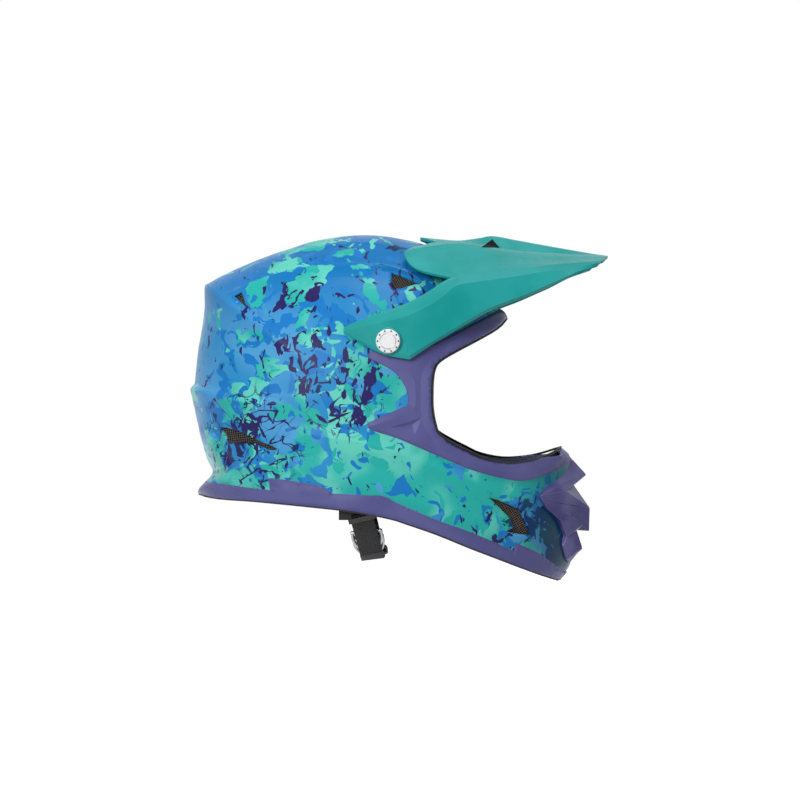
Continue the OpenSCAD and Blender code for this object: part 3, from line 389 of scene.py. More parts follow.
def surround(P):
    """Height of the violet surround of the face port."""
    d, _, _ = to_line(PANEL, P, True)
    e, _, _ = to_line(PANEL_FLAT, P, True)
    rise = np.where(d > EDGE_W, PANEL_RISE * (d - EDGE_W) / np.maximum(d - EDGE_W + e, 1e-6), 0)
    slope = np.interp(d, [0, EDGE_W], [0, PANEL_EDGE_H]) + rise
    soft, side, _ = to_line(PANEL_SOFT, P)
    fold = np.interp(soft * np.where(side == 0, 1, -side), *zip(*PANEL_FOLD))
    flat = inside(PANEL_FLAT, P)
    h = np.where(flat, fold, slope)
    lip, side, share = to_line(LIP_CREASE, P)
    under = flat & (P[:, 1] < LIP_TOP_Z) & (side > 0)
    h = np.where(under, h - LIP_SLOPE * lip * smooth01(share / 0.12), h)
    deepest = np.array([ARROW_IN])
    edges = [(ARROW[i], ARROW[(i + 1) % 3]) for i in range(3)]
    dip = np.min([to_line(edge, P)[0] / to_line(edge, deepest)[0][0] for edge in edges], axis=0)
    return np.where(inside(ARROW, P), h - ARROW_DEPTH * np.clip(dip, 0, 1), h)


def lift(P, a, q):
    """Height of the surface relief over the plain shell, in mm, at side-view points."""
    h = np.zeros(len(P))
    for line, profile, fade_in, fade_out, _ in FOLDS:
        h += ridge(line, P, profile, fade_in, fade_out)
    d, _, _ = to_line(LOUVRE_EDGE, P, True)
    h = np.where(inside(LOUVRE, P), h - LOUVRE_DEPTH * smooth01(d / LOUVRE_RUN), h)
    h = np.where(inside(PANEL, P), UNDER_FIELD * h + surround(P), h)
    # violet band of the rim, flared downward
    band = inside(BAND, P)
    d, _, _ = to_line(BAND, P, True)
    c, side, _ = to_line(BAND_CREASE, P)
    below = side < 0
    flare = BAND_FLARE * (c * below) * (1 - smooth01((q - BAND_FLARE_END) / 0.12))
    edge = np.interp(d, [0, EDGE_W], [0, BAND_EDGE_H])
    h = np.where(band, UNDER_FIELD * h + edge + flare + BAND_LOW_H * below, h)
    s, side, _ = to_line(STEP_CREASE, P)
    up = band & (side > 0) & (P[:, 0] > STEP_X[0]) & (P[:, 0] < STEP_X[1])
    h = np.where(up, h - STEP_DEPTH * smooth01(s / STEP_RUN), h)
    h = np.where(band, h + ridge(GROOVE, P, GROOVE_PROFILE, 0.2, 0.2), h)
    h += np.interp(-a, *zip(*CHIN_SWELL)) * smooth01((q - SWELL_START) / 0.2)
    # rounded edge of the port
    p, _, _ = to_line(PORT, P)
    h -= PORT_ROUND * np.clip(1 - p / PORT_ROUND_RUN, 0, 1) ** 2
    return h


# Shell mesh: triangles whose edges follow the outlines and creases, laid out on the unrolled half shell
STEP = 3.0
VENT_STEP = 2.0
# height of the relief that is allowed for along the port, the rim, and the edges of surround and band
PORT_LIFT = 2.0
RIM_LIFT = 1.6
PANEL_LIFT = 0.4
BAND_LIFT = 0.5
# distances from the port's edge at which the mesh has more lines, and radii of its rings round the screw
PORT_LINES = (0.65, 1.3, 3.2)
SEAT_RINGS = (5.2, 12.5, 14.5)
SEAT_PITCH = 15
# ribs where the outline turns quickly: first and last bearing, pitch in degrees, and share where they start;
# across the nape, the two corners of the back, the lip and the brow
RIBS = (
    (-157, -149.6, 0.5, 0.6), (-149, -141, 1.0, 0.6), (173.5, 179.5, 1.0, 0.8),
    (141, 147.5, 0.9, 0.8), (-22.5, -13.5, 0.6, 0.8), (29, 37, 0.8, 0.75))
RIB_END = 0.004
MIDDLE_STEPS = 480
# mouth intake in the front of the chin: half width, bottom and top of its side edges, and the bearings
# between which they lie
INTAKE_HALF_W = 14
INTAKE_Z = (-128.2, -114.8)
INTAKE_BEARINGS = (-44, -30)
INTAKE_X = 130
QUARTER = math.pi / 2
# filling of the sheet: its bounds, row height and clearance to a line as shares of a step, and search cell
SHEET_X = (-330, 330)
SHEET_Z = (-260, 330)
ROW = 0.866
CLEAR = 0.62
MARGIN = 1.2
CELL = 4
MERGE = 0.02


def unroll(P, hint=0.0):
    """Side-view points spread out on the plane in which the mesh is laid."""
    P = np.asarray(P, float)
    a = bearing_of(P)
    R = reach(a)
    q = distance_of(P) / (R + hint)
    return polar(R * np.where(q < 1, np.arcsin(np.clip(q, 0, 1)), QUARTER + (q - 1) * 0.8), a)


def dense(P, closed=False, hint=0.0, gap=STEP):
    """A line of the side view, unrolled and cut into even steps."""
    P = np.asarray(P, float)
    if closed:
        P = np.vstack([P, P[:1]])
    out = []
    for i in range(len(P) - 1):
        t = np.linspace(0, 1, 41)[:, None]
        fine = unroll(P[i] + (P[i + 1] - P[i]) * t, hint)
        run = np.concatenate([[0], np.cumsum(distance_of(fine[1:] - fine[:-1]))])
        k = max(1, int(round(run[-1] / gap)))
        at = np.linspace(0, run[-1], k + 1)[:-1]
        out.append(np.stack([np.interp(at, run, fine[:, 0]), np.interp(at, run, fine[:, 1])], -1))
    out.append(unroll(P[-1:], hint))
    return np.vstack(out)


def mesh_lines():
    """Lines on the unrolled shell that the mesh keeps as edges."""
    lines = [dense(PORT_HOLE[1:-1], hint=PORT_LIFT)]
    lines += [dense(offset(PORT, d), hint=PORT_LIFT) for d in PORT_LINES]
    lines.append(dense(RIM_CUT[:-3], hint=RIM_LIFT))
    lines += [dense(vent, True, gap=VENT_STEP) for vent in VENTS]
    # line, whether it is closed, and the height of the relief along it
    for line, closed, hint in (
            (PANEL, True, PANEL_LIFT), (offset(PANEL, EDGE_W, True), True, PANEL_LIFT),
            (PANEL_FLAT, True, 1.6), (PANEL_SOFT, False, 1.4), (LIP_CREASE, False, 2.0), (ARROW, True, 2.0),
            *(([ARROW_IN, p], False, 2.0) for p in ARROW),
            (BAND, True, BAND_LIFT), (offset(BAND, EDGE_W, True), True, BAND_LIFT),
            (BAND_CREASE, False, 1.1), (STEP_CREASE, False, 1.0), (GROOVE, False, 1.0)):
        lines.append(dense(line, closed, hint))
    for line, _, _, _, sides in FOLDS:
        lines += [dense(offset(line, s) if s else line) for s in sides]
    lines.append(dense(LOUVRE[:3]))
    lines += [dense(SEAT + polar(r, np.arange(0, 360, SEAT_PITCH)), True) for r in SEAT_RINGS]
    for low, high, pitch, inner in RIBS:
        for b in np.arange(low, high, pitch):
            R = reach(b)
            lines.append(polar(np.arange(math.asin(inner), QUARTER - RIB_END, STEP / R) * R, b))
    # edge of the half: the middle plane
    a = np.linspace(-180, 180, MIDDLE_STEPS + 1)[:-1]
    lines.append(polar(reach(a) * QUARTER, a)[np.r_[0:MIDDLE_STEPS, 0]])
    # side edge of the mouth intake, and its top and bottom out to the middle plane
    a = np.linspace(*INTAKE_BEARINGS, 60)
    n, m = powers(a)
    q = (1 - (INTAKE_HALF_W / HALF_W) ** m) ** (1 / n)
    z = q * reach(a) * np.sin(np.radians(a))
    edge = polar(reach(a) * np.arcsin(q), a)[(z > INTAKE_Z[0]) & (z < INTAKE_Z[1])]
    lines.append(edge)
    for end in (edge[0], edge[-1]):
        b = bearing_of(end)
        lines.append(np.array([end, polar(reach(b) * 1.6, b)]))
    return lines


def filling(fixed):
    """Even rows of points between the lines, none close to them."""
    fill = []
    for i, v in enumerate(np.arange(*SHEET_Z, STEP * ROW)):
        u = np.arange(*SHEET_X, STEP) + (STEP / 2 if i % 2 else 0)
        fill.append(np.stack([u, np.full(len(u), v)], -1))
    fill = np.vstack(fill)
    fill = fill[distance_of(fill) < reach(bearing_of(fill)) * QUARTER - MARGIN]
    cell = {}
    for p in fixed:
        cell.setdefault((int(p[0] // CELL), int(p[1] // CELL)), []).append(p)
    kept = []
    for p in fill:
        cx, cy = int(p[0] // CELL), int(p[1] // CELL)
        close = (f for dx in (-1, 0, 1) for dy in (-1, 0, 1) for f in cell.get((cx + dx, cy + dy), ()))
        if all((f[0] - p[0]) ** 2 + (f[1] - p[1]) ** 2 >= (CLEAR * STEP) ** 2 for f in close):
            kept.append(p)
    return np.array(kept)


def build_shell():
    """Points, triangles and colour zones (0 paint, 1 surround, 2 band) of the shell's half; Y positive."""
    lines = mesh_lines()
    edges = []
    count = 0
    for line in lines:
        edges += [(count + i, count + i + 1) for i in range(len(line) - 1)]
        count += len(line)
    fixed = np.vstack(lines)
    allp = np.vstack([fixed, filling(fixed)])
    vs, _, fs, _, _, _ = delaunay_2d_cdt([tuple(p) for p in allp], edges, [], 0, MERGE, False)
    UV = np.array([(v[0], v[1]) for v in vs])
    F = np.array(fs)
    a = bearing_of(UV)
    R = reach(a)
    q = np.sin(np.clip(distance_of(UV) / R, 0, QUARTER))
    mid = UV[F].mean(1)
    ma = bearing_of(mid)
    mr = distance_of(mid) / reach(ma)
    mq = np.sin(np.clip(mr, 0, QUARTER))

    def side_view(hint):
        return polar(mq * (reach(ma) + hint), ma)

    S = side_view(0)
    out = (mr > QUARTER) | inside(PORT_HOLE, side_view(PORT_LIFT)) | inside(RIM_CUT, side_view(RIM_LIFT))
    for vent in VENTS:
        out |= inside(vent, S)
    out |= distance_of(S - SEAT) < BORE_R
    C = skin(ma, mq, 0)
    out |= ((C[:, 0] > INTAKE_X) & (C[:, 1] < INTAKE_HALF_W)
            & (C[:, 2] > INTAKE_Z[0] + 0.1) & (C[:, 2] < INTAKE_Z[1] - 0.1))
    zone = np.zeros(len(F), int)
    zone[inside(PANEL, side_view(PANEL_LIFT))] = 1
    zone[inside(BAND, side_view(BAND_LIFT))] = 2
    F, zone = F[~out], zone[~out]
    # relief read at the places where the lifted points are seen
    h = np.zeros(len(UV))
    for _ in range(3):
        h = lift(polar(q * (R + h), a), a, q)
    X = skin(a, q, h)
    near_seat = distance_of(X[:, ::2] - SEAT)
    blend = np.where(near_seat < BLEND_R, np.minimum(X[:, 1], SEAT_Y + BLEND_RISE), X[:, 1])
    X[:, 1] = np.where(near_seat < SEAT_R, SEAT_Y, blend)
    X[:, 1] = np.where(q > 0.99999, 0, X[:, 1])
    used = np.unique(F)
    index = np.full(len(X), -1)
    index[used] = np.arange(len(used))
    return X[used], index[F], zone


shell_pts, shell_tris, shell_zone = build_shell()


# Materials
def lin(r, g, b):
    """Linear colour from display values of 0 to 255."""
    out = []
    for v in (r, g, b):
        v /= 255
        out.append(v / 12.92 if v <= 0.04045 else ((v + 0.055) / 1.055) ** 2.4)
    return (*out, 1)


class Mat:
    """A node material on object coordinates in millimetres."""

    def __init__(self, name, color, rough=0.5, metal=0.0, spec=0.5):
        self.m = bpy.data.materials.new(name)
        self.m.use_nodes = True
        self.m.diffuse_color = color
        self.n = self.m.node_tree.nodes
        self.b = self.n["Principled BSDF"]
        self.set("Base Color", color)
        self.set("Roughness", rough)
        self.set("Metallic", metal)
        self.set("Specular IOR Level", spec)
        self.pos = self.vec("SCALE", self.node("TexCoord").outputs["Object"], scale=1 / MM)

    def put(self, socket, value):
        if isinstance(value, bpy.types.NodeSocket):
            self.m.node_tree.links.new(value, socket)
        else:
            socket.default_value = value

    def set(self, key, value):
        """Value of the surface shader itself."""
        self.put(self.b.inputs[key], value)

    def node(self, kind, inputs=None, **settings):
        n = self.n.new("ShaderNode" + kind)
        for k, v in settings.items():
            setattr(n, k, v)
        for k, v in (inputs or {}).items():
            if v is not None:
                self.put(n.inputs[k], v)
        return n

    def vec(self, op, a, b=None, scale=None):
        n = self.node("VectorMath", {0: a, 1: b, "Scale": scale}, operation=op)
        return n.outputs["Value" if op == "DOT_PRODUCT" else "Vector"]

    def moved(self, v, by):
        return self.vec("ADD", v, by)

    def stretched(self, v, by):
        return self.vec("MULTIPLY", v, by)

    def math(self, op, a, b=None, clamp=False):
        return self.node("Math", {0: a, 1: b}, operation=op, use_clamp=clamp).outputs[0]

    def add(self, a, b):
        return self.math("ADD", a, b)

    def sub(self, a, b):
        return self.math("SUBTRACT", a, b)

    def mul(self, a, b):
        return self.math("MULTIPLY", a, b)

    def larger(self, a, b):
        return self.math("MAXIMUM", a, b)

    def weighed(self, *terms):
        """Sum of fields, each times its weight."""
        parts = [self.mul(field, weight) for field, weight in terms]
        total = parts[0]
        for part in parts[1:]:
            total = self.add(total, part)
        return total

    def noise(self, size, detail=2.0, rough=0.5, warp=0.0, at=None, color=False):
        n = self.node("TexNoise", {"Vector": self.pos if at is None else at, "Scale": 1.0 / size,
                                   "Detail": detail, "Roughness": rough, "Distortion": warp})
        return n.outputs["Color" if color else "Fac"]

    def warped(self, size, detail, reach_mm, at=None):
        """A place, by default the object's own, pushed about by noise."""
        push = self.vec("SCALE", self.noise(size, detail, color=True), scale=reach_mm)
        return self.moved(self.pos if at is None else at, push)

    def cells(self, size, at=None, out="Distance"):
        n = self.node("TexVoronoi", {"Vector": self.pos if at is None else at, "Scale": 1.0 / size})
        return n.outputs[out]

    def span(self, v, lo, hi, a=0.0, b=1.0):
        """a below lo, b above hi, eased between."""
        n = self.node("MapRange", {"Value": v, "From Min": lo, "From Max": hi, "To Min": a, "To Max": b},
                      interpolation_type="SMOOTHSTEP")
        return n.outputs["Result"]

    def step(self, v, edge, soft):
        """0 below the edge, 1 above it."""
        return self.span(v, edge - soft, edge + soft)

    def cloud(self, size, detail, lo, hi, a=0.0, b=1.0, at=None):
        """Soft noise between two values."""
        return self.span(self.noise(size, detail, at=at), lo, hi, a, b)

    def patches(self, size, detail, rough, warp, at, edge):
        """1 inside irregular patches with sharp edges."""
        return self.step(self.noise(size, detail, rough, warp, at), edge, CRISP)

    def mix(self, fac, a, b):
        n = self.node("Mix", {"Factor": fac, "A": a, "B": b}, data_type="RGBA")
        return next(o for o in n.outputs if o.type == "RGBA")

    def bump(self, height, strength, distance=0.0003):
        n = self.node("Bump", {"Height": height, "Strength": strength, "Distance": distance})
        self.set("Normal", n.outputs["Normal"])

    def edged(self, c, hi, radius, full, share):
        """The colour with a share of a paler one along sharp edges: a painted highlight where edges catch the
        light.
        """
        soft = self.node("Bevel", {"Radius": radius * MM}, samples=4).outputs["Normal"]
        true = self.node("NewGeometry").outputs["Normal"]
        edge_glint = self.math("SUBTRACT", 1.0, self.vec("DOT_PRODUCT", soft, true), clamp=True)
        return self.mix(self.mul(self.span(edge_glint, 0.01, full), share), c, hi)

    def axes(self):
        return self.node("SeparateXYZ", {0: self.pos}).outputs

    def about(self, x, z):
        """Offsets and distance from a side-view point."""
        ax = self.axes()
        dx, dz = self.sub(ax[0], float(x)), self.sub(ax[2], float(z))
        return dx, dz, self.math("SQRT", self.add(self.mul(dx, dx), self.mul(dz, dz)))

    def near(self, x, z, r, fall):
        """1 round a side-view point, falling to 0 at distance r over a share of it."""
        return self.span(self.about(x, z)[2], r * (1 - fall), r, 1.0, 0.0)

    def fields(self, spots):
        """Strongest of several round fields; each is a place with its strength."""
        parts = [self.mul(self.near(*spot), strength) for spot, strength in spots]
        total = parts[0]
        for part in parts[1:]:
            total = self.larger(total, part)
        return total

    def spray(self, size, at, zone, radius, keep, gain):
        """Irregular drops, each cell of its own size, more of them where the zone is high."""
        d = self.cells(size, at)
        pick = self.cells(size, at, "Color")
        r = self.mul(self.sub(pick, self.sub(keep, self.mul(zone, gain))), radius / 0.5)
        return self.step(self.sub(self.math("MINIMUM", r, radius), d), 0.0, 0.015)


BLUE = lin(40, 136, 194)
BLUE_HI = lin(78, 154, 206)
# painted shade: the crown's darker blue
BLUE_CROWN_SHADE = lin(8, 112, 178)
BLUE_MID = lin(26, 118, 190)
AQUA = lin(98, 202, 186)
AQUA_DEEP = lin(40, 172, 164)
NAVY = lin(26, 30, 84)
INK_VIOLET = lin(44, 32, 96)
# painted shade of the chin's front: its navy and dark teal, and the darkest colour at the very front
CHIN_SHADE_NAVY = lin(6, 42, 98)
CHIN_SHADE_TEAL = lin(2, 66, 88)
CHIN_FRONT_SHADE = lin(3, 60, 84)
# pale colour of the painted highlight along sharp edges
EDGE_HIGHLIGHT = lin(150, 215, 230)
CRISP = 0.005
# places of the paint's fields: X, Z, radius, and the share of the radius over which they fade; those that
# join have a strength each
PLAIN = (((30, -62, 62, 0.5), 1.0), ((95, -78, 50, 0.5), 1.0))
AQUA_SPOT = (-46, 62, 60, 0.8)
BLUE_SPOT = (-118, 18, 46, 0.8)
# dark splatter: dense in the middle of the cheek and low at the back, thinner above and on the chin
DARK = (((-12, 22, 60, 0.8), 1.0), ((-96, -44, 46, 0.7), 1.0), ((-52, 58, 62, 0.6), 0.85),
        ((112, -100, 40, 0.6), 0.8), ((40, 84, 44, 0.7), 0.8))
STROKES = (((-92, -32, 54, 0.4), 1.0), ((-20, -2, 34, 0.4), 1.0))
# lean of the drawn-out strokes in degrees, and how far each set is moved to differ from the other
STROKE_SETS = ((28, 0.0), (-40, 55.0))


def base_coat(m, warp, ax):
    """Blues, deeper towards the crown as a painted shade."""
    c = m.mix(m.cloud(60, 1, 0.35, 0.65), BLUE, BLUE_HI)
    c = m.mix(m.span(ax[2], 40, 120), c, BLUE_CROWN_SHADE)
    return m.mix(m.patches(20, 2, 0.5, 0.9, m.moved(warp, (60.0, 11.0, 5.0)), 0.56), c, BLUE_MID)


def aqua_coat(m, warp):
    """Two aquas in patches."""
    c = m.mix(m.cloud(50, 2, 0.4, 0.6), AQUA, AQUA_DEEP)
    return m.mix(m.patches(23, 2, 0.55, 0.9, m.moved(warp, (5.0, 44.0, 9.0)), 0.57), c, AQUA_DEEP)


def stroke_lines(m):
    """Thin curved strokes in two directions."""
    out = []
    for angle, shift in STROKE_SETS:
        turn = m.node("VectorRotate", {"Vector": m.moved(m.pos, (shift, shift, 0.0)),
                                       "Angle": math.radians(angle)}, rotation_type="Y_AXIS")
        n = m.noise(24, 2, 0.5, 0.5, m.stretched(turn.outputs[0], (0.55, 1.0, 1.6)))
        gap = m.math("ABSOLUTE", m.sub(n, 0.5))
        wide = m.cloud(20, 1, 0.4, 0.7, 0.001, 0.02, m.moved(m.pos, (shift, 8.0, 30.0)))
        out.append(m.step(m.sub(wide, gap), 0.0, 0.002))
    return m.larger(*out)


def paint_material():
    m = Mat("shell_paint", BLUE, 0.34, spec=0.1)
    warp = m.warped(12, 1.4, 9.0)
    fine = m.warped(6, 1, 4.0)
    ax = m.axes()
    plain = m.fields(PLAIN)
    jaw = m.mul(m.span(ax[0], 86, 124), m.span(ax[2], -56, -92))
    # share of aqua drifts over the shell
    bias = m.weighed((m.span(ax[0], -70, 90), 0.03), (m.span(ax[2], 10, -70), 0.045), (plain, 0.11),
                     (m.near(*AQUA_SPOT), 0.05), (m.near(*BLUE_SPOT), -0.06), (jaw, -0.10))
    aqua = m.step(m.add(m.noise(34, 2.4, 0.55, 0.9, warp), bias), 0.535, CRISP)
    c = m.mix(aqua, base_coat(m, warp, ax), aqua_coat(m, warp))
    # blue patches cut into the aqua
    cut = m.patches(17, 2.2, 0.55, 1.0, m.moved(warp, (17.0, 3.0, 70.0)), 0.60)
    c = m.mix(m.mul(cut, aqua), c, BLUE_MID)
    # fine spray of both colours
    drops = m.spray(6.0, fine, m.noise(24, 1), 0.36, 0.95, 0.45)
    c = m.mix(drops, c, m.mix(aqua, AQUA, BLUE_HI))
    # dark splatter: spots, then larger and smaller drops, then strokes
    zone = m.mul(m.fields(DARK), m.sub(1.0, m.mul(plain, 0.6)))
    spots = m.noise(11.5, 2.2, 0.52, 0.8, m.stretched(m.moved(warp, (31.0, 7.0, 5.0)), (1.35, 1.0, 0.8)))
    dark = m.step(m.add(spots, m.mul(zone, 0.16)), 0.685, CRISP)
    oval = m.stretched(m.warped(14, 2, 9.0, fine), (1.5, 1.0, 0.8))
    dark = m.larger(dark, m.spray(9.0, oval, zone, 0.42, 0.98, 0.42))
    dark = m.larger(dark, m.spray(4.0, m.moved(fine, (9.0, 9.0, 9.0)), zone, 0.4, 1.0, 0.4))
    dark = m.larger(dark, m.mul(stroke_lines(m), m.fields(STROKES)))
    # front of the chin: painted shade in patches of navy and dark teal, which also stand for dark blotches of
    # the paint, with a few green patches left; then a painted shade darker towards the very front
    chin = m.mul(m.span(ax[0], 104, 158), m.span(ax[2], -58, -92))
    rag = m.noise(20, 4, 0.6, 0.5, m.moved(warp, (3.0, 80.0, 2.0)))
    shade = m.step(m.add(rag, m.mul(chin, 0.22)), 0.66, 0.006)
    c = m.mix(shade, c, m.mix(m.cloud(24, 2, 0.4, 0.6), CHIN_SHADE_NAVY, CHIN_SHADE_TEAL))
    # painted shade, darker towards the very front of the chin
    c = m.mix(m.mul(m.span(ax[0], 120, 166), 0.66), c, CHIN_FRONT_SHADE)
    c = m.mix(dark, c, m.mix(m.noise(30, 1), NAVY, INK_VIOLET))
    # paler edges of the paint: a painted highlight along its sharp edges and creases
    m.set("Base Color", m.edged(c, EDGE_HIGHLIGHT, 0.9, 0.12, 0.2))
    m.set("Roughness", m.cloud(3, 3, 0.3, 0.7, 0.30, 0.40))
    m.bump(m.noise(0.6, 2), 0.04, 0.0001)
    m.set("Coat Weight", 0.03)
    m.set("Coat Roughness", 0.22)
    return m.m


# turned marks on the screw's head, in mm from its middle: ring of dimples, broken ring, and rim
DIMPLES = 10
DIMPLE_RING_R = 8.5
DIMPLE_R = 0.62
ARCS = 3
ARC_R = 6.3
ARC_HALF_W = 0.22
RIM_R = (9.4, 10.4)


def screw_material():
    """Pale turned head with a ring of small dimples and thin arcs."""
    m = Mat("screw_silver", lin(228, 230, 230), 0.26, spec=0.4)
    dx, dz, r = m.about(*SEAT)
    turn = m.math("ARCTAN2", dz, dx)
    off = m.math("ABSOLUTE", m.sub(r, DIMPLE_RING_R))
    dot = m.mul(m.step(m.math("COSINE", m.mul(turn, DIMPLES)), 0.74, 0.08),
                m.sub(1.0, m.step(off, DIMPLE_R, 0.08)))
    arc = m.sub(1.0, m.step(m.math("ABSOLUTE", m.sub(r, ARC_R)), ARC_HALF_W, 0.08))
    arc = m.mul(arc, m.step(m.math("SINE", m.add(m.mul(turn, ARCS), 0.7)), -0.3, 0.1))
    c = m.mix(m.span(r, *RIM_R), lin(230, 232, 232), lin(196, 200, 200))
    # the arcs and dimples are painted dark: painted shade in their recesses
    c = m.mix(m.mul(arc, 0.75), c, lin(96, 96, 98))
    c = m.mix(dot, c, lin(52, 52, 54))
    c = m.mix(m.mul(m.cloud(5, 3, 0.5, 0.7), 0.12), c, lin(180, 184, 186))
    m.set("Base Color", c)
    m.set("Roughness", m.cloud(2, 3, 0.3, 0.7, 0.2, 0.34))
    m.bump(m.sub(1.0, m.larger(dot, arc)), 0.5, 0.0004)
    return m.m


def moulded(name, color, hi, rough=0.42, edge=0.35, spec=0.45):
    """Moulded or sprayed plastic: fine grain, faint cloudiness, and paler edges, a painted highlight along
    them.
    """
    m = Mat(name, color, rough, spec=spec)
    c = m.mix(m.mul(m.cloud(40, 2, 0.35, 0.65), 0.25), color, hi)
    # paler edges: a painted highlight, its share given by edge
    m.set("Base Color", m.edged(c, hi, 0.8, 0.15, edge))
    m.set("Roughness", m.cloud(4, 3, 0.3, 0.7, rough - 0.05, rough + 0.05))
    m.bump(m.noise(0.5, 2), 0.06, 0.0001)
    return m.m


def rubber(name):
    """Black rubber, faintly cloudy."""
    color = lin(20, 20, 22)
    m = Mat(name, color, 0.62, spec=0.35)
    m.set("Base Color", m.mix(m.cloud(12, 2, 0.4, 0.6), color, lin(34, 34, 36)))
    m.bump(m.noise(0.4, 2), 0.15, 0.0001)
    return m.m


def cloth(name, color, hi, pitch=0.9):
    """Knitted pad cloth: crossed threads with sheen."""
    m = Mat(name, color, 0.85, spec=0.2)
    ax = m.axes()
    turns = 2 * math.pi / pitch
    a = m.math("SINE", m.mul(m.add(ax[0], ax[1]), turns))
    b = m.math("SINE", m.mul(m.sub(ax[2], m.mul(ax[1], 0.5)), turns))
    w = m.mul(a, b)
    c = m.mix(m.span(w, -1, 1), color, hi)
    m.set("Base Color", m.mix(m.mul(m.cloud(15, 3, 0.35, 0.65), 0.3), c, color))
    m.bump(m.add(w, m.noise(0.5, 2)), 0.35)
    m.set("Sheen Weight", 0.35)
    m.set("Sheen Roughness", 0.5)
    return m.m


def foam():
    """Beaded foam."""
    m = Mat("liner_foam", lin(42, 42, 46), 0.8, spec=0.25)
    beads = m.cells(2.6)
    m.set("Base Color", m.mix(m.span(beads, 0.1, 0.7), lin(54, 54, 58), lin(30, 30, 33)))
    m.bump(beads, 0.3)
    return m.m


def metal(name, color, rough):
    """Brushed metal, with a painted highlight along its edges."""
    m = Mat(name, color, rough, 0.85)
    brush = m.stretched(m.pos, (0.25, 3.0, 3.0))
    m.set("Roughness", m.cloud(1.5, 3, 0.3, 0.7, rough * 0.8, rough * 1.3, brush))
    m.set("Base Color", m.edged(color, lin(250, 250, 250), 0.3, 0.2, 0.5))
    return m.m


def webbing(name, color, hi):
    """Woven nylon tape: ribs across, two threads to a rib, leaning with the strap."""
    m = Mat(name, color, 0.72, spec=0.3)
    ax = m.axes()
    along = m.weighed((ax[2], 0.97), (ax[0], -0.24))
    across = m.weighed((ax[0], 0.97), (ax[2], 0.24))
    rib = m.math("SINE", m.mul(along, 2 * math.pi / 1.7))
    thread = m.math("SINE", m.add(m.mul(across, 2 * math.pi / 1.9), m.mul(rib, 1.2)))
    w = m.weighed((rib, 0.6), (thread, 0.6))
    m.set("Base Color", m.mix(m.span(w, -1, 1.1), color, hi))
    m.bump(w, 0.5, 0.0004)
    m.set("Sheen Weight", 0.2)
    return m.m


PAINT = paint_material()
# in these pieces the paler colour serves both random cloudiness and the painted highlight along edges
VIOLET_M = moulded("violet_paint", lin(80, 80, 134), lin(116, 114, 166), spec=0.2)
MOUTH_M = moulded("mouth_violet", lin(50, 44, 108), lin(150, 146, 200), 0.36, 0.5, spec=0.3)
TEAL_M = moulded("visor_teal", lin(10, 142, 140), lin(62, 176, 174), 0.42, 0.3, spec=0.2)
RUBBER_M = rubber("trim_rubber")
FOAM_M = foam()
PAD_M = cloth("pad_cloth", lin(32, 33, 36), lin(66, 68, 72))
PAD_SIDE_M = cloth("pad_side_cloth", lin(22, 22, 24), lin(44, 45, 48), 1.4)
MESH_M = moulded("grille_black", lin(84, 74, 66), lin(120, 108, 98), 0.5, 0.3)
MATT_M = Mat("channel_black", lin(24, 22, 22), 0.9, spec=0.1).m
SCREW_M = screw_material()
BRASS_M = metal("insert_brass", lin(196, 164, 92), 0.3)
STEEL_M = metal("ring_steel", lin(150, 152, 154), 0.28)
WEB_M = webbing("web_black", lin(17, 17, 18), lin(38, 38, 40))
HEM_M = webbing("web_hem", lin(36, 36, 38), lin(64, 64, 67))
PLASTIC_M = moulded("black_plastic", lin(26, 26, 28), lin(70, 70, 74), 0.45, 0.35)


# Outer shell: the right half and its mirror, joined at the middle plane
def build_skin():
    """The painted shell with its wall."""
    mid_plane = shell_pts[:, 1] < 1e-6
    count = len(shell_pts)
    left_index = np.arange(count)
    left_index[~mid_plane] = count + np.arange((~mid_plane).sum())
    verts = np.vstack([shell_pts * (1, -1, 1), shell_pts[~mid_plane]])
    tris = np.vstack([shell_tris, left_index[shell_tris][:, ::-1]])
    shell = make("outer_shell_skin", verts, tris, [PAINT, VIOLET_M, VIOLET_M, RUBBER_M], 15,
                 np.tile(shell_zone, 2))
    modify(shell, "SOLIDIFY", "wall", thickness=SHELL_T * MM, offset=-1, use_even_offset=False)
    place(shell, "helmet", ["outer_shell"])


build_skin()


# Beads along the edges
def tube(name, line, r, sides, mat, closed=True):
    """Round cord along a line; open ends are capped."""
    L = np.asarray(line, float)
    n = len(L)
    t = np.roll(L, -1, 0) - np.roll(L, 1, 0)
    if not closed:
        t[0], t[-1] = L[1] - L[0], L[-1] - L[-2]
    t /= np.linalg.norm(t, axis=1)[:, None]
    u = np.cross(t, L / np.linalg.norm(L, axis=1)[:, None])
    u /= np.linalg.norm(u, axis=1)[:, None]
    v = np.cross(u, t)
    ang = np.linspace(0, 2 * math.pi, sides, endpoint=False)
    pts = L[:, None] + r * (u[:, None] * np.cos(ang)[:, None] + v[:, None] * np.sin(ang)[:, None])
    faces = grid_faces(n, sides, ring_n=closed, ring_m=True)
    if not closed:
        faces += [tuple(range(sides))[::-1], tuple((n - 1) * sides + j for j in range(sides))]
    return outward(make(name, pts.reshape(-1, 3), faces, [mat], 50))


def skin_loop(edge, depth):
    """An edge line on the right of the shell and back along the left."""
    return np.vstack([on_skin(edge, depth, -1), on_skin(edge, depth, 1)[::-1][1:-1]])


BEAD_R = 0.95
for name, edge, depth, node in (
        ("port_bead", offset(PORT, 0.8), 0.2, "port_trim"),
        ("rim_bead", offset(RIM, -0.6), -0.6, "rim_trim")):
    place(tube(name, skin_loop(edge, depth), BEAD_R, 10, RUBBER_M), "helmet", [node])


# Vent meshes
# wire of the screens, depth of the channel's floor behind them and cells of that floor each way
WIRE = 0.6
CHANNEL_DEPTH = 5
FLOOR_CELLS = 13


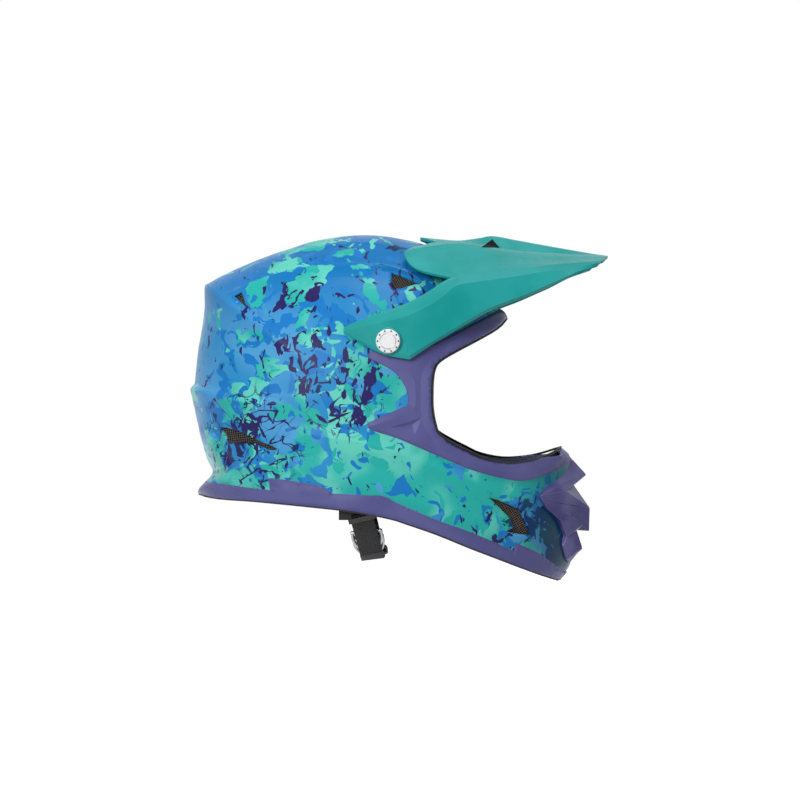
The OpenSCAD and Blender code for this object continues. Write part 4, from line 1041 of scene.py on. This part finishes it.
def vent_mesh(place_name, word, side, poly, depth, pitch, tilt):
    """Woven wire screen behind a vent opening, following the shell, and the floor of the air channel."""
    P = np.array(poly, float)
    c = P.mean(0)
    k = int((distance_of(P - c).max() + pitch) // pitch) + 1
    ca, sa = math.cos(math.radians(tilt)), math.sin(math.radians(tilt))
    g = np.arange(-k, k + 1) * pitch
    U, V = np.meshgrid(g, g, indexing="ij")
    G = np.stack([c[0] + U * ca - V * sa, c[1] + U * sa + V * ca], -1)
    n = len(g)
    mids = (G[:-1, :-1] + G[1:, 1:]).reshape(-1, 2) / 2
    d, _, _ = to_line(poly, mids, True)
    keep = inside(poly, mids) | (d < 1.6)
    faces = [f for f, ok in zip(grid_faces(n, n), keep) if ok]
    used = sorted({i for f in faces for i in f})
    at = {v: i for i, v in enumerate(used)}
    pts = on_skin(G.reshape(-1, 2), depth, side)[used]
    screen = make(f"{place_name}_vent_mesh_{word}", pts, [[at[i] for i in f] for f in faces], [MESH_M])
    modify(screen, "WIREFRAME", "wires", thickness=WIRE * MM, use_even_offset=False, use_boundary=True)
    place(screen, "helmet", [f"{place_name}_grille_{word}"])
    row = np.linspace(P.min(0) - 3, P.max(0) + 3, FLOOR_CELLS)
    U, V = np.meshgrid(row[:, 0], row[:, 1], indexing="ij")
    G = np.stack([U.ravel(), V.ravel()], -1)
    d, _, _ = to_line(poly, G, True)
    floor_depth = depth + CHANNEL_DEPTH - 3 * smooth01(np.where(inside(poly, G), 0, d) / 3)
    floor = make(screen.name + "_floor", on_skin(G, floor_depth, side), grid_faces(FLOOR_CELLS, FLOOR_CELLS),
                 [MATT_M])
    modify(floor, "SOLIDIFY", "wall", thickness=0.8 * MM, offset=0)
    place(floor, "helmet")


# opening, depth and pitch of its screen, and lean of the weave in degrees
for side, word in SIDES:
    vent_mesh("crown", word, side, CROWN_VENT, 2.0, 1.7, 30)
    vent_mesh("rear", word, side, REAR_VENT, 2.0, 1.8, 30)
    vent_mesh("neck", word, side, NECK_VENT, 2.6, 1.8, 8)
    vent_mesh("chin", word, side, CHIN_VENT, 2.0, 1.7, 30)


# Padding
def full(t):
    """Profile across a cushion: 0 at both edges, 1 in the middle."""
    return np.sqrt(np.clip(1 - np.abs(2 * t - 1) ** 4, 0, 1))


def pillow(u, v):
    """Share of the full thickness across a cushion: most in the middle, little at the edges."""
    return 0.22 + 0.78 * full(u) * full(v)


def seam(t, tightness):
    """1 on a seam, quickly less beside it."""
    return np.exp(-(t * tightness) ** 2)


def cushion(name, back, front):
    """Closed soft piece between two grids of points: cloth in front, side cloth behind and round the edge."""
    n, m = back.shape[:2]
    f = n * m
    faces = grid_faces(n, m) + grid_faces(n, m, f, flip=True)
    half = (n - 1) * (m - 1)
    border = ([(i, 0) for i in range(n)] + [(n - 1, j) for j in range(1, m)]
              + [(i, m - 1) for i in range(n - 2, -1, -1)] + [(0, j) for j in range(m - 2, 0, -1)])
    border = [i * m + j for i, j in border]
    for a, b in zip(border, border[1:] + border[:1]):
        faces.append((a, b, f + b, f + a))
    marks = [1] * half + [0] * half + [1] * len(border)
    verts = np.vstack([back.reshape(-1, 3), front.reshape(-1, 3)])
    ob = outward(make(name, verts, faces, [PAD_M, PAD_SIDE_M], marks=marks))
    modify(ob, "SUBSURF", "soft", levels=1, render_levels=1)
    return ob


def lining(a, s, spread, depth):
    """Points under the shell by bearing, and by share s from right (-1) to left (1) of an angle of spread."""
    p = skin(a, np.sin(np.radians(90 - np.abs(s) * spread)), -depth)
    p[..., 1] *= np.sign(s)
    return p


def band_pad(name, node, bearings, spread, depth, thick, cells, seams, tightness, cross=()):
    """Cushion across the head: seams run along it, cross seams from side to side."""
    u, v = np.meshgrid(np.linspace(1, 0, cells[0] + 1), np.linspace(0, 1, cells[1] + 1), indexing="ij")
    cut = np.zeros_like(v)
    for s in seams:
        cut = np.maximum(cut, seam(v - s, tightness * 1.8))
    for s in cross:
        cut = np.maximum(cut, seam(u - s, tightness * 1.4))
    fullness = pillow(u, v)
    hollow = 0.25 * (1 - fullness)
    a = bearings[0] + u * (bearings[1] - bearings[0])
    s = 2 * v - 1
    ob = cushion(name, lining(a, s, spread, depth + thick * hollow),
                 lining(a, s, spread, depth + thick * (hollow + fullness * (1 - 0.4 * cut))))
    place(ob, "helmet", [node])


# thickness of the foam behind the pads, and the gap between foam and pad
FOAM_T = 22
CHIN_FOAM_T = 15
PAD_GAP = 1.8
INNER = SHELL_T + FOAM_T + PAD_GAP
CHIN_INNER = SHELL_T + CHIN_FOAM_T + PAD_GAP
THIRDS = (0.333, 0.667)
band_pad("crown_cushion", "crown_pad", (52, 150), 42, INNER, 8, (40, 40), THIRDS, 12, (0.3, 0.7))
band_pad("brow_cushion", "brow_pad", (37, 49), 46, INNER, 7, (12, 64), (0.25, 0.5, 0.75), 16)
band_pad("neck_cushion", "neck_roll", (-166, -151), 52, INNER + 0.2, 13, (14, 64), (0.25, 0.75), 16)
band_pad("chin_cushion_pad", "chin_pad", (-34, -24), 36, CHIN_INNER, 8, (12, 40), (0.5,), 12)

# cheek pads: corners in the side view, depth of the back, thickness and cells each way
CHEEK = np.array([(-16, -82), (46, -98), (52, -26), (-18, -24)], float)
CHEEK_DEPTH = INNER + 6
CHEEK_T = 20
CHEEK_CELLS = 28


def cheek_pad(side, word):
    """Cushion beside the cheek, with a seam each way."""
    row = np.linspace(0, 1, CHEEK_CELLS + 1)
    u, v = np.meshgrid(row, row, indexing="ij")
    U, V = u[..., None], v[..., None]
    spot = (1 - U) * ((1 - V) * CHEEK[0] + V * CHEEK[3]) + U * ((1 - V) * CHEEK[1] + V * CHEEK[2])
    fullness = pillow(u, v)
    cut = 0.3 * seam(v - 0.5, 13) + 0.12 * seam(u - 0.5, 13)
    back = on_skin(spot, CHEEK_DEPTH + 3 * (1 - fullness), side)
    front = on_skin(spot, CHEEK_DEPTH + CHEEK_T * (0.15 * (1 - fullness) + fullness * (1 - cut)), side)
    ob = cushion("cheek_cushion_" + word, back, front)
    place(ob, "helmet", ["cheek_pad_" + word])


for side, word in SIDES:
    cheek_pad(side, word)

# Strap
# the webbing's right half and its free end, as distance from the middle plane and height; both lean forward
ANCHOR = (-14.0, -52.0)
LEAN = 0.27
WEB = [(83.4, -43), (83.4, -50), (83.2, -60), (81.4, -72), (78.4, -86), (74.5, -97.5), (68, -109.5),
       (50, -124.5), (36, -129), (18, -131.8), (0, -132.5)]
TAIL = [(77.6, -93.5), (76, -98.3), (71.3, -106.6), (65.4, -118.4), (62.8, -126.6), (58.8, -131)]
WEB_W = 19.0
WEB_T = 1.8
WEB_EDGE = 0.5
# the main webbing is thinner than the free end, which clears the rings
STRAP_T = WEB_T - 0.5


def leaning(z):
    """X of the strap at a height."""
    return ANCHOR[0] + LEAN * (ANCHOR[1] - z)


def ribbon(name, line, w, h, mat):
    """Flat tape with chamfered edges along a line."""
    t = np.vstack([line[1:2] - line[:1], line[2:] - line[:-2], line[-1:] - line[-2:-1]])
    t /= np.linalg.norm(t, axis=1)[:, None]
    b = np.array([1.0, 0, 0]) - t[:, :1] * t
    b /= np.linalg.norm(b, axis=1)[:, None]
    u = np.cross(t, b)
    half_w, half_h, sixth = w / 2, h / 2, w / 6
    prof = [(-half_w, WEB_EDGE - half_h), (WEB_EDGE - half_w, -half_h), (-sixth, -half_h), (sixth, -half_h),
            (half_w - WEB_EDGE, -half_h), (half_w, WEB_EDGE - half_h)]
    prof += [(-x, -y) for x, y in prof]
    pts = np.stack([line + b * p[0] + u * p[1] for p in prof], 1)
    n, m = pts.shape[:2]
    faces = grid_faces(n, m, ring_m=True) + [tuple(range(m))[::-1], tuple((n - 1) * m + j for j in range(m))]
    return outward(make(name, pts.reshape(-1, 3), faces, [mat], 50))


half_web = np.array([(leaning(z), -y, z) for y, z in WEB])
web_line = np.vstack([half_web, (half_web * (1, -1, 1))[::-1][1:]])
tail_line = bend([(leaning(z), -y, z) for y, z in TAIL], 5)
strap = ribbon("strap_webbing", bend(web_line, 5), WEB_W, STRAP_T, WEB_M)
place(strap, "strap", ["chin_strap"])
tail = ribbon("strap_free_end", tail_line, WEB_W, WEB_T, WEB_M)
place(tail, "strap")
# stitched hem at the free end
hem = ribbon("strap_hem", tail_line[-6:], WEB_W + 0.6, WEB_T + 1.0, HEM_M)
place(hem, "strap")

# cushion under the chin, on top of the webbing
CHIN_HALF_W = 32
CHIN_T = 7


def chin_sleeve():
    """Cushion across the webbing, with two seams."""
    v, u = np.meshgrid(np.linspace(0, 1, 17), np.linspace(0, 1, 49))
    y = CHIN_HALF_W * (2 * u - 1)
    z = np.interp(np.abs(y), *zip(*WEB[::-1]))
    fullness = pillow(u, v)
    cut = 0.16 * (seam(u - 0.33, 26) + seam(u - 0.67, 26))

    def above(d):
        return np.stack([leaning(z) + (v - 0.5) * (WEB_W + 5), y, z + WEB_T / 2 + 0.4 + d], -1)

    return cushion("strap_cushion", above(0.2 * CHIN_T * (1 - fullness)),
                   above(CHIN_T * (0.2 * (1 - fullness) + fullness * (1 - cut))))


chin = chin_sleeve()
place(chin, "strap", ["chin_cushion"])

# Visor
# sections of the left half in mm, from the middle plane out to the lower edge; on the arm a section has only
# the last four of these points
ARM = [
    [(-15.9, 118.6, 59.5), (-16.1, 119.4, 58.3), (-16.1, 119.4, 56.7), (-15.9, 119, 55.2)],
    [(-5.8, 117.5, 64.5), (-5, 119.5, 59.5), (-3.3, 119.5, 49.7), (-2.8, 118.5, 47.8)],
    [(14.9, 115.5, 71.9), (15.5, 119, 64), (16.3, 119, 40.8), (16.2, 118, 38.1)],
    [(35.6, 110.5, 80), (37, 115.5, 70), (38.2, 118, 37.5), (37.6, 116.5, 33.8)],
    [(52.5, 106, 89.2), (55.2, 111.5, 78.8), (58.2, 114, 50), (56.7, 112, 46.4)],
    [(63.9, 102, 96.9), (67, 106.5, 87.2), (74.6, 108.5, 59.8), (72.9, 107, 56)]]
ROOF = [
    [(47, 0, 138.2), (47.5, 11, 137.8), (60.2, 30, 133.3), (38.1, 58, 126.6), (33.5, 70, 120.4),
     (43.1, 82, 108.7), (72.2, 98, 101), (75.8, 101.5, 94.3), (90.3, 102.6, 69), (89, 100.5, 65.6)],
    [(64, 0, 136.6), (64.1, 11, 136.1), (70.2, 30, 132.3), (54.2, 57, 129), (52.3, 68, 122.5),
     (62.5, 81, 112.7), (84.9, 93.5, 103.3), (89, 97, 97), (103.6, 97.6, 76.3), (102.2, 95.5, 73)],
    [(80, 0, 135.4), (80.1, 11, 135.1), (82.3, 29, 131.7), (76.4, 52, 131.8), (76.5, 64, 125.4),
     (84.7, 77, 114.7), (101.1, 87.5, 105.4), (105.2, 91, 99.4), (118.8, 92.1, 82.4), (117.4, 90, 79.2)],
    [(96, 0, 137.4), (96.1, 11, 137), (97.3, 26, 129.8), (96.5, 46, 130.2), (97.7, 58, 126),
     (104.9, 71, 115.2), (119.3, 80.5, 108), (123.4, 84, 102.2), (134.2, 85.6, 88.2), (133, 83.5, 85.1)],
    [(108.5, 0, 139.4), (108.7, 11.5, 138.4), (110.3, 24, 127.2), (112.6, 40, 127.4), (114.8, 51, 124.1),
     (123, 64, 115.8), (136.4, 73.5, 110.2), (140, 77, 105.1), (148.8, 79.1, 94.5), (147.6, 77, 91.4)],
    [(128, 0, 136), (128.2, 11, 134.9), (129.9, 21, 125.2), (131.6, 35, 125.3), (133.8, 45, 122.5),
     (141.1, 57, 116.2), (152.4, 66.5, 112.3), (155.5, 70, 107.9), (162.6, 72.6, 100.4), (161.6, 71, 97.7)],
    [(150, 0, 132), (150.2, 10, 130.9), (151.4, 18, 124.1), (152.6, 30, 123.9), (154.8, 39, 121.6),
     (160.1, 50, 116.8), (169.4, 59, 114.1), (172.1, 62.5, 110.9), (176.6, 65.6, 106.8), (175.7, 65.5, 105)],
    [(176, 0, 127.4), (176.2, 8.5, 126.5), (176.9, 15, 123.2), (178.1, 25, 122.5), (179.9, 33, 120.8),
     (183.7, 43, 117.8), (188.9, 51, 115.9), (190, 54.5, 113.7), (188.3, 57.1, 110.4), (187.6, 57.5, 109.2)],
    [(206, 0, 122.2), (206, 7, 122.2), (205.4, 13.5, 122), (204.3, 22, 121.4), (202.9, 29, 120.4),
     (201.1, 37, 118.7), (198.9, 44, 116.7), (197.4, 47, 114.9), (194.8, 49.1, 112.3), (194.2, 49.5, 111.4)]]
K_ROW = 6
K_COL = 4
ARM_COL = 6
LAST_COL = 9
ARM_ROWS = K_ROW * len(ARM)


def visor_rows():
    """Smooth rows of points across the left half; the rows of the arm are shorter."""
    cols = []
    for c in range(LAST_COL + 1):
        run = [r[c - ARM_COL] for r in ARM] if c >= ARM_COL else []
        cols.append(bend(run + [r[c] for r in ROOF], K_ROW, False, (3,) if c >= 8 else ()))
    rows = []
    for i in range(len(cols[-1])):
        if i < ARM_ROWS:
            rows.append(bend([cols[c][i] for c in range(ARM_COL, LAST_COL + 1)], K_COL, False, (1, 2)))
        else:
            across = [cols[c][i - ARM_ROWS if c < ARM_COL else i] for c in range(LAST_COL + 1)]
            rows.append(bend(across, K_COL, False, (1, 2, 6, 7, 8)))
    return rows


def visor_peak():
    """The visor's mesh: both halves, joined at the middle plane."""
    rows = visor_rows()
    pts, index, faces = [], {}, []
    for i, row in enumerate(rows):
        first = ARM_COL * K_COL if i < ARM_ROWS else 0
        for c, (x, y, z) in enumerate(row, first):
            index[i, c] = len(pts)
            pts.append((x, -y, z))
            if c:
                index[i, -c] = len(pts)
                pts.append((x, y, z))
    for i in range(len(rows) - 1):
        for c in range(ARM_COL * K_COL if i < ARM_ROWS else 0, LAST_COL * K_COL):
            faces.append((index[i, c], index[i, c + 1], index[i + 1, c + 1], index[i + 1, c]))
            faces.append((index[i, -c], index[i + 1, -c], index[i + 1, -c - 1], index[i, -c - 1]))
    return make("visor_peak", pts, faces, [TEAL_M], 11)


visor = visor_peak()
modify(visor, "SOLIDIFY", "wall", thickness=2.4 * MM, offset=-1, use_even_offset=False)
modify(visor, "BEVEL", "edge", width=0.4 * MM, segments=2, limit_method="ANGLE",
       angle_limit=math.radians(50))
place(visor, "visor", ["visor"])
visor_tree = BVHTree.FromPolygons([tuple(v.co) for v in visor.data.vertices],
                                  [tuple(f.vertices) for f in visor.data.polygons])

# marks on the visor, as seen in the middle plane: the intake's corners and the edge of the recess
INTAKE = np.array([(99.025, 129.88), (108.205, 136.51), (114.325, 129.54)])
INTAKE_CELLS = 8
RECESS = [(21.845, 66.3), (29.92, 53.805), (36.125, 48.705), (35.02, 39.95)]


def lay(points, push):
    """Points of the middle plane laid on the right of the visor along the camera's line of sight."""
    out = []
    eye = Vector(EYE)
    for x, z in points:
        ray = (Vector((x * MM, 0, z * MM)) - eye).normalized()
        hit, normal, _, _ = visor_tree.ray_cast(eye, ray)
        if normal.dot(ray) > 0:
            normal = -normal
        out.append(tuple((hit + normal * push * MM) / MM))
    return np.array(out)


def visor_marks():
    """Intake as a thin dark sheet, a painted shade standing in for its opening, with its rim, and the edge of
    the recess, on both sides.
    """
    k = INTAKE_CELLS
    a, b, c = INTAKE
    spots = [(i, j) for i in range(k + 1) for j in range(k + 1 - i)]
    number = {spot: n for n, spot in enumerate(spots)}
    cells = []
    for i, j in spots:
        if i + j < k:
            cells.append((number[i, j], number[i + 1, j], number[i, j + 1]))
        if i + j < k - 1:
            cells.append((number[i + 1, j], number[i + 1, j + 1], number[i, j + 1]))
    laid = lay([a + (b - a) * i / k + (c - a) * j / k for i, j in spots], 0.25)
    rim = lay([a + (b - a) * t for t in np.linspace(0, 1, 9)]
              + [b + (c - b) * t for t in np.linspace(0.1, 1, 9)], 0.3)
    recess = lay(bend(RECESS, 6, False, (1, 2)), -0.1)
    for side, word in SIDES:
        flip = np.array([1, -side, 1])
        # the intake's dark sheet: painted shade laid on the visor where its opening is
        dark = make("visor_intake_" + word, laid * flip, cells, [MATT_M], smooth=False)
        modify(dark, "SOLIDIFY", "wall", thickness=0.3 * MM, offset=-1)
        place(dark, "visor")
        for name, line, r in (("visor_intake_edge_", rim, 0.5), ("visor_recess_edge_", recess, 0.45)):
            edge = tube(name + word, line * flip, r, 8, TEAL_M, False)
            place(edge, "visor")


visor_marks()

# round bosses under the visor screws: radius and distance from the middle plane
BOSS = np.array([
    (3.1, 114.3), (11.2, 114.3), (11.2, 119.2), (10.7, 119.65), (3.1, 119.65), (3.1, 114.3)])
BOSS_SIDES = 64


def visor_boss(side, word):
    """Ring under the head of a visor screw, round the visor's axis."""
    flat = polar(BOSS[:, :1], np.linspace(0, 360, BOSS_SIDES, endpoint=False)) + SEAT
    y = np.broadcast_to(side * BOSS[:, 1:], flat.shape[:2])
    pts = np.stack([flat[..., 0], y, flat[..., 1]], -1).reshape(-1, 3)
    faces = grid_faces(len(BOSS), BOSS_SIDES, ring_m=True)
    boss = outward(make("visor_boss_" + word, pts, faces, [TEAL_M], 35))
    place(boss, "visor")


for side, word in SIDES:
    visor_boss(side, word)

# Finish of the pieces shown as they come from the frame
FINISH = (
    (FOAM_M, "crown_liner chin_liner"),
    (MESH_M, "mouth_grille"),
    (PLASTIC_M, "mouthpiece_pins pad_studs strap_keeper strap_snap"),
    (SCREW_M, "visor_screw_right visor_screw_left"),
    (RUBBER_M, "friction_washer_right friction_washer_left"),
    (BRASS_M, "visor_insert_right visor_insert_left"),
    (STEEL_M, "strap_anchor_right strap_anchor_left strap_ring_upper strap_ring_lower"),
    (WEB_M, "pull_tab"))
for mat, names in FINISH:
    for name in names.split():
        nodes[name].data.materials.clear()
        nodes[name].data.materials.append(mat)

# Mouthpiece: convex blocks between facet corners; True: one block across the middle
MOUTH = [
    (False, [
        (146.8, 61, -78.6), (160.3, 47.5, -72.9), (167.6, 36, -68), (173.6, 20, -59.7), (176, 8, -50.4),
        (186.2, 8, -61.5), (187.5, 8, -63.4), (179.9, 9, -69.2), (177.2, 11.5, -72.3), (168.7, 40, -75.8)]),
    (True, [
        (176, 8, -50.4), (186.2, 8, -61.5), (187.5, 8, -63.4), (179.9, 9, -69.2), (177.2, 11.5, -72.3)]),
    (False, [
        (146.8, 61, -78.6), (168.7, 40, -75.8), (177.2, 11.5, -72.3), (177.8, 12.5, -76.4),
        (182.9, 14, -81.3), (190, 14.5, -90.8), (173.6, 34, -86.6), (166.8, 43, -86.2), (146.8, 61, -80.8)]),
    (True, [
        (190, 14.5, -90.8), (183, 13, -81.3), (177.8, 11.5, -76.5), (177.2, 11.5, -72.3), (172, 26, -81.4)]),
    (True, [
        (190, 14.5, -90.8), (190.1, 15, -92.8), (189.6, 15, -110.6), (180.5, 16, -110), (183.6, 21, -103.5),
        (173.3, 32, -95.9), (168.8, 37, -93.5), (167.4, 41, -87.1), (173.3, 32.5, -87)]),
    (False, [
        (146.8, 61, -80.8), (152, 55.5, -89.9), (157.8, 50.5, -94.8), (163.4, 44.5, -99.9),
        (166.1, 42, -93.3), (173.1, 35, -95.7), (173.6, 33.5, -87.4), (166.9, 42.5, -86.8)]),
    (False, [
        (166.1, 42, -93.3), (173.1, 36, -95.7), (184.5, 24, -104.1), (179, 23, -110), (163.4, 44.5, -99.9),
        (169.9, 33.5, -114.7)]),
    (False, [
        (179, 23, -110), (183.7, 20, -124), (172.9, 17, -137.9), (166.7, 34, -122.2), (169.9, 33.5, -114.7),
        (170.2, 26, -134.1)]),
    (False, [
        (184.3, 20, -125), (168.5, 30, -119.5), (170, 24, -128.5), (173.5, 9, -135.5), (176, 17, -127),
        (177, 9, -131)]),
    (True, [
        (173.5, 9, -135.5), (177, 9, -131)]),
]
# a block's back: how much narrower and lower than its corners, and how far behind them
BACK_SCALE = (1, 0.9, 0.985)
BACK_SET = (5, 0, 0)
MIRROR = (1, -1, 1)


def mouth_block(corners, across):
    """One mesh with the hull of the corners and their copies set back, and its mirror."""
    P = np.array(corners, float)
    P = np.vstack([P, P * BACK_SCALE - BACK_SET])
    bm = bmesh.new()
    for group in ([np.vstack([P, P * MIRROR])] if across else [P * MIRROR, P]):
        hull = bmesh.ops.convex_hull(bm, input=[bm.verts.new(tuple(p * MM)) for p in group])
        loose = {v for v in hull["geom_interior"] + hull["geom_unused"]
                 if isinstance(v, bmesh.types.BMVert) and not v.link_faces}
        bmesh.ops.delete(bm, geom=list(loose), context="VERTS")
    bmesh.ops.dissolve_limit(bm, angle_limit=math.radians(4), verts=bm.verts, edges=bm.edges)
    bmesh.ops.recalc_face_normals(bm, faces=bm.faces)
    piece = bpy.data.meshes.new("piece")
    bm.to_mesh(piece)
    bm.free()
    return piece


def mouth_cover():
    """All blocks of the mouthpiece in one mesh."""
    whole = bmesh.new()
    for across, corners in MOUTH:
        whole.from_mesh(mouth_block(corners, across))
    cover = bpy.data.meshes.new("mouth_cover")
    whole.to_mesh(cover)
    whole.free()
    cover.materials.append(MOUTH_M)
    return link("mouth_cover", cover)


mouth = mouth_cover()
modify(mouth, "BEVEL", "edge", width=0.5 * MM, segments=2, limit_method="ANGLE",
       angle_limit=math.radians(8))
place(mouth, "helmet", ["mouthpiece"])

# Light, floor and camera
WHITE = (1, 1, 1, 1)
WORLD_LIGHT = 0.21


def seen_white(tree, light, seen):
    """One shader for lighting, another for what the camera, mirrors and glass see."""
    path = tree.nodes.new("ShaderNodeLightPath")
    mixed = tree.nodes.new("ShaderNodeMixShader")
    total = path.outputs["Is Camera Ray"]
    for word in ("Is Glossy Ray", "Is Transmission Ray"):
        larger = tree.nodes.new("ShaderNodeMath")
        larger.operation = "MAXIMUM"
        tree.links.new(total, larger.inputs[0])
        tree.links.new(path.outputs[word], larger.inputs[1])
        total = larger.outputs[0]
    tree.links.new(total, mixed.inputs[0])
    tree.links.new(light, mixed.inputs[1])
    tree.links.new(seen, mixed.inputs[2])
    return mixed.outputs[0]


def glow(tree, strength):
    """White background light."""
    n = tree.nodes.new("ShaderNodeBackground")
    n.inputs["Color"].default_value = WHITE
    n.inputs["Strength"].default_value = strength
    return n.outputs[0]


world = bpy.data.worlds.new("studio")
bpy.context.scene.world = world
world.use_nodes = True
wt = world.node_tree
wt.nodes.clear()
sky = wt.nodes.new("ShaderNodeOutputWorld")
wt.links.new(seen_white(wt, glow(wt, WORLD_LIGHT), glow(wt, 1.0)), sky.inputs[0])


def lamp(name, at, size, watts, target=(0, 0, 0)):
    """Square area lamp, in metres, aimed at a target."""
    data = bpy.data.lights.new(name, "AREA")
    data.shape = "RECTANGLE"
    data.size = data.size_y = size
    data.energy = watts
    ob = link(name, data)
    ob.location = at
    d = np.array(target) - np.array(at)
    ob.rotation_euler = (math.atan2(math.hypot(d[0], d[1]), -d[2]), 0, math.atan2(d[1], d[0]) - math.pi / 2)
    return ob


lights = [
    lamp("overhead", (0.25, -0.35, 1.8), 0.9, 15, (0.02, 0, 0)),
    lamp("rear_key", (-1.2, -2.95, 0.95), 1.3, 78),
    lamp("left_fill", (-0.5, 2.9, 0.95), 1.3, 70),
    lamp("front_low", (1.4, -1.5, -0.1), 0.4, 2.5, (0.12, -0.05, 0))]
# the last two only fill in and leave no bright edge on the outline
for light in lights[2:]:
    light.visible_glossy = False

FLOOR_Z = -0.36
FLOOR_HALF = 6.0
floor_data = bpy.data.meshes.new("floor")
floor_data.from_pydata([(x, y, FLOOR_Z) for x, y in ((-FLOOR_HALF, -FLOOR_HALF), (FLOOR_HALF, -FLOOR_HALF),
                                                     (FLOOR_HALF, FLOOR_HALF), (-FLOOR_HALF, FLOOR_HALF))],
                       [], [(0, 1, 2, 3)])
floor = link("floor", floor_data)
paper = Mat("floor_paper", (0.9, 0.9, 0.9, 1), 0.9, spec=0.1)
paper.bump(paper.noise(3, 3), 0.05)
paper.set("Emission Color", WHITE)
paper.set("Emission Strength", 0.8)
bounce = paper.node("BsdfDiffuse", {"Color": (0.4, 0.4, 0.4, 1)})
paper.put(paper.n["Material Output"].inputs["Surface"],
          seen_white(paper.m.node_tree, bounce.outputs[0], paper.b.outputs[0]))
floor_data.materials.append(paper.m)

SENSOR = 36
cam_data = bpy.data.cameras.new("camera")
cam_data.sensor_width = SENSOR
cam_data.lens = SENSOR * -EYE[1] / VIEW_W
cam_data.shift_y = -EYE[2] / VIEW_W
camera = link("camera", cam_data)
camera.location = EYE
camera.rotation_euler = (math.pi / 2, 0, 0)
bpy.context.scene.camera = camera
bpy.context.scene.view_settings.view_transform = "Standard"

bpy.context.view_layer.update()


def plain(b):
    return [[round(float(x), 6) for x in p] for p in b]
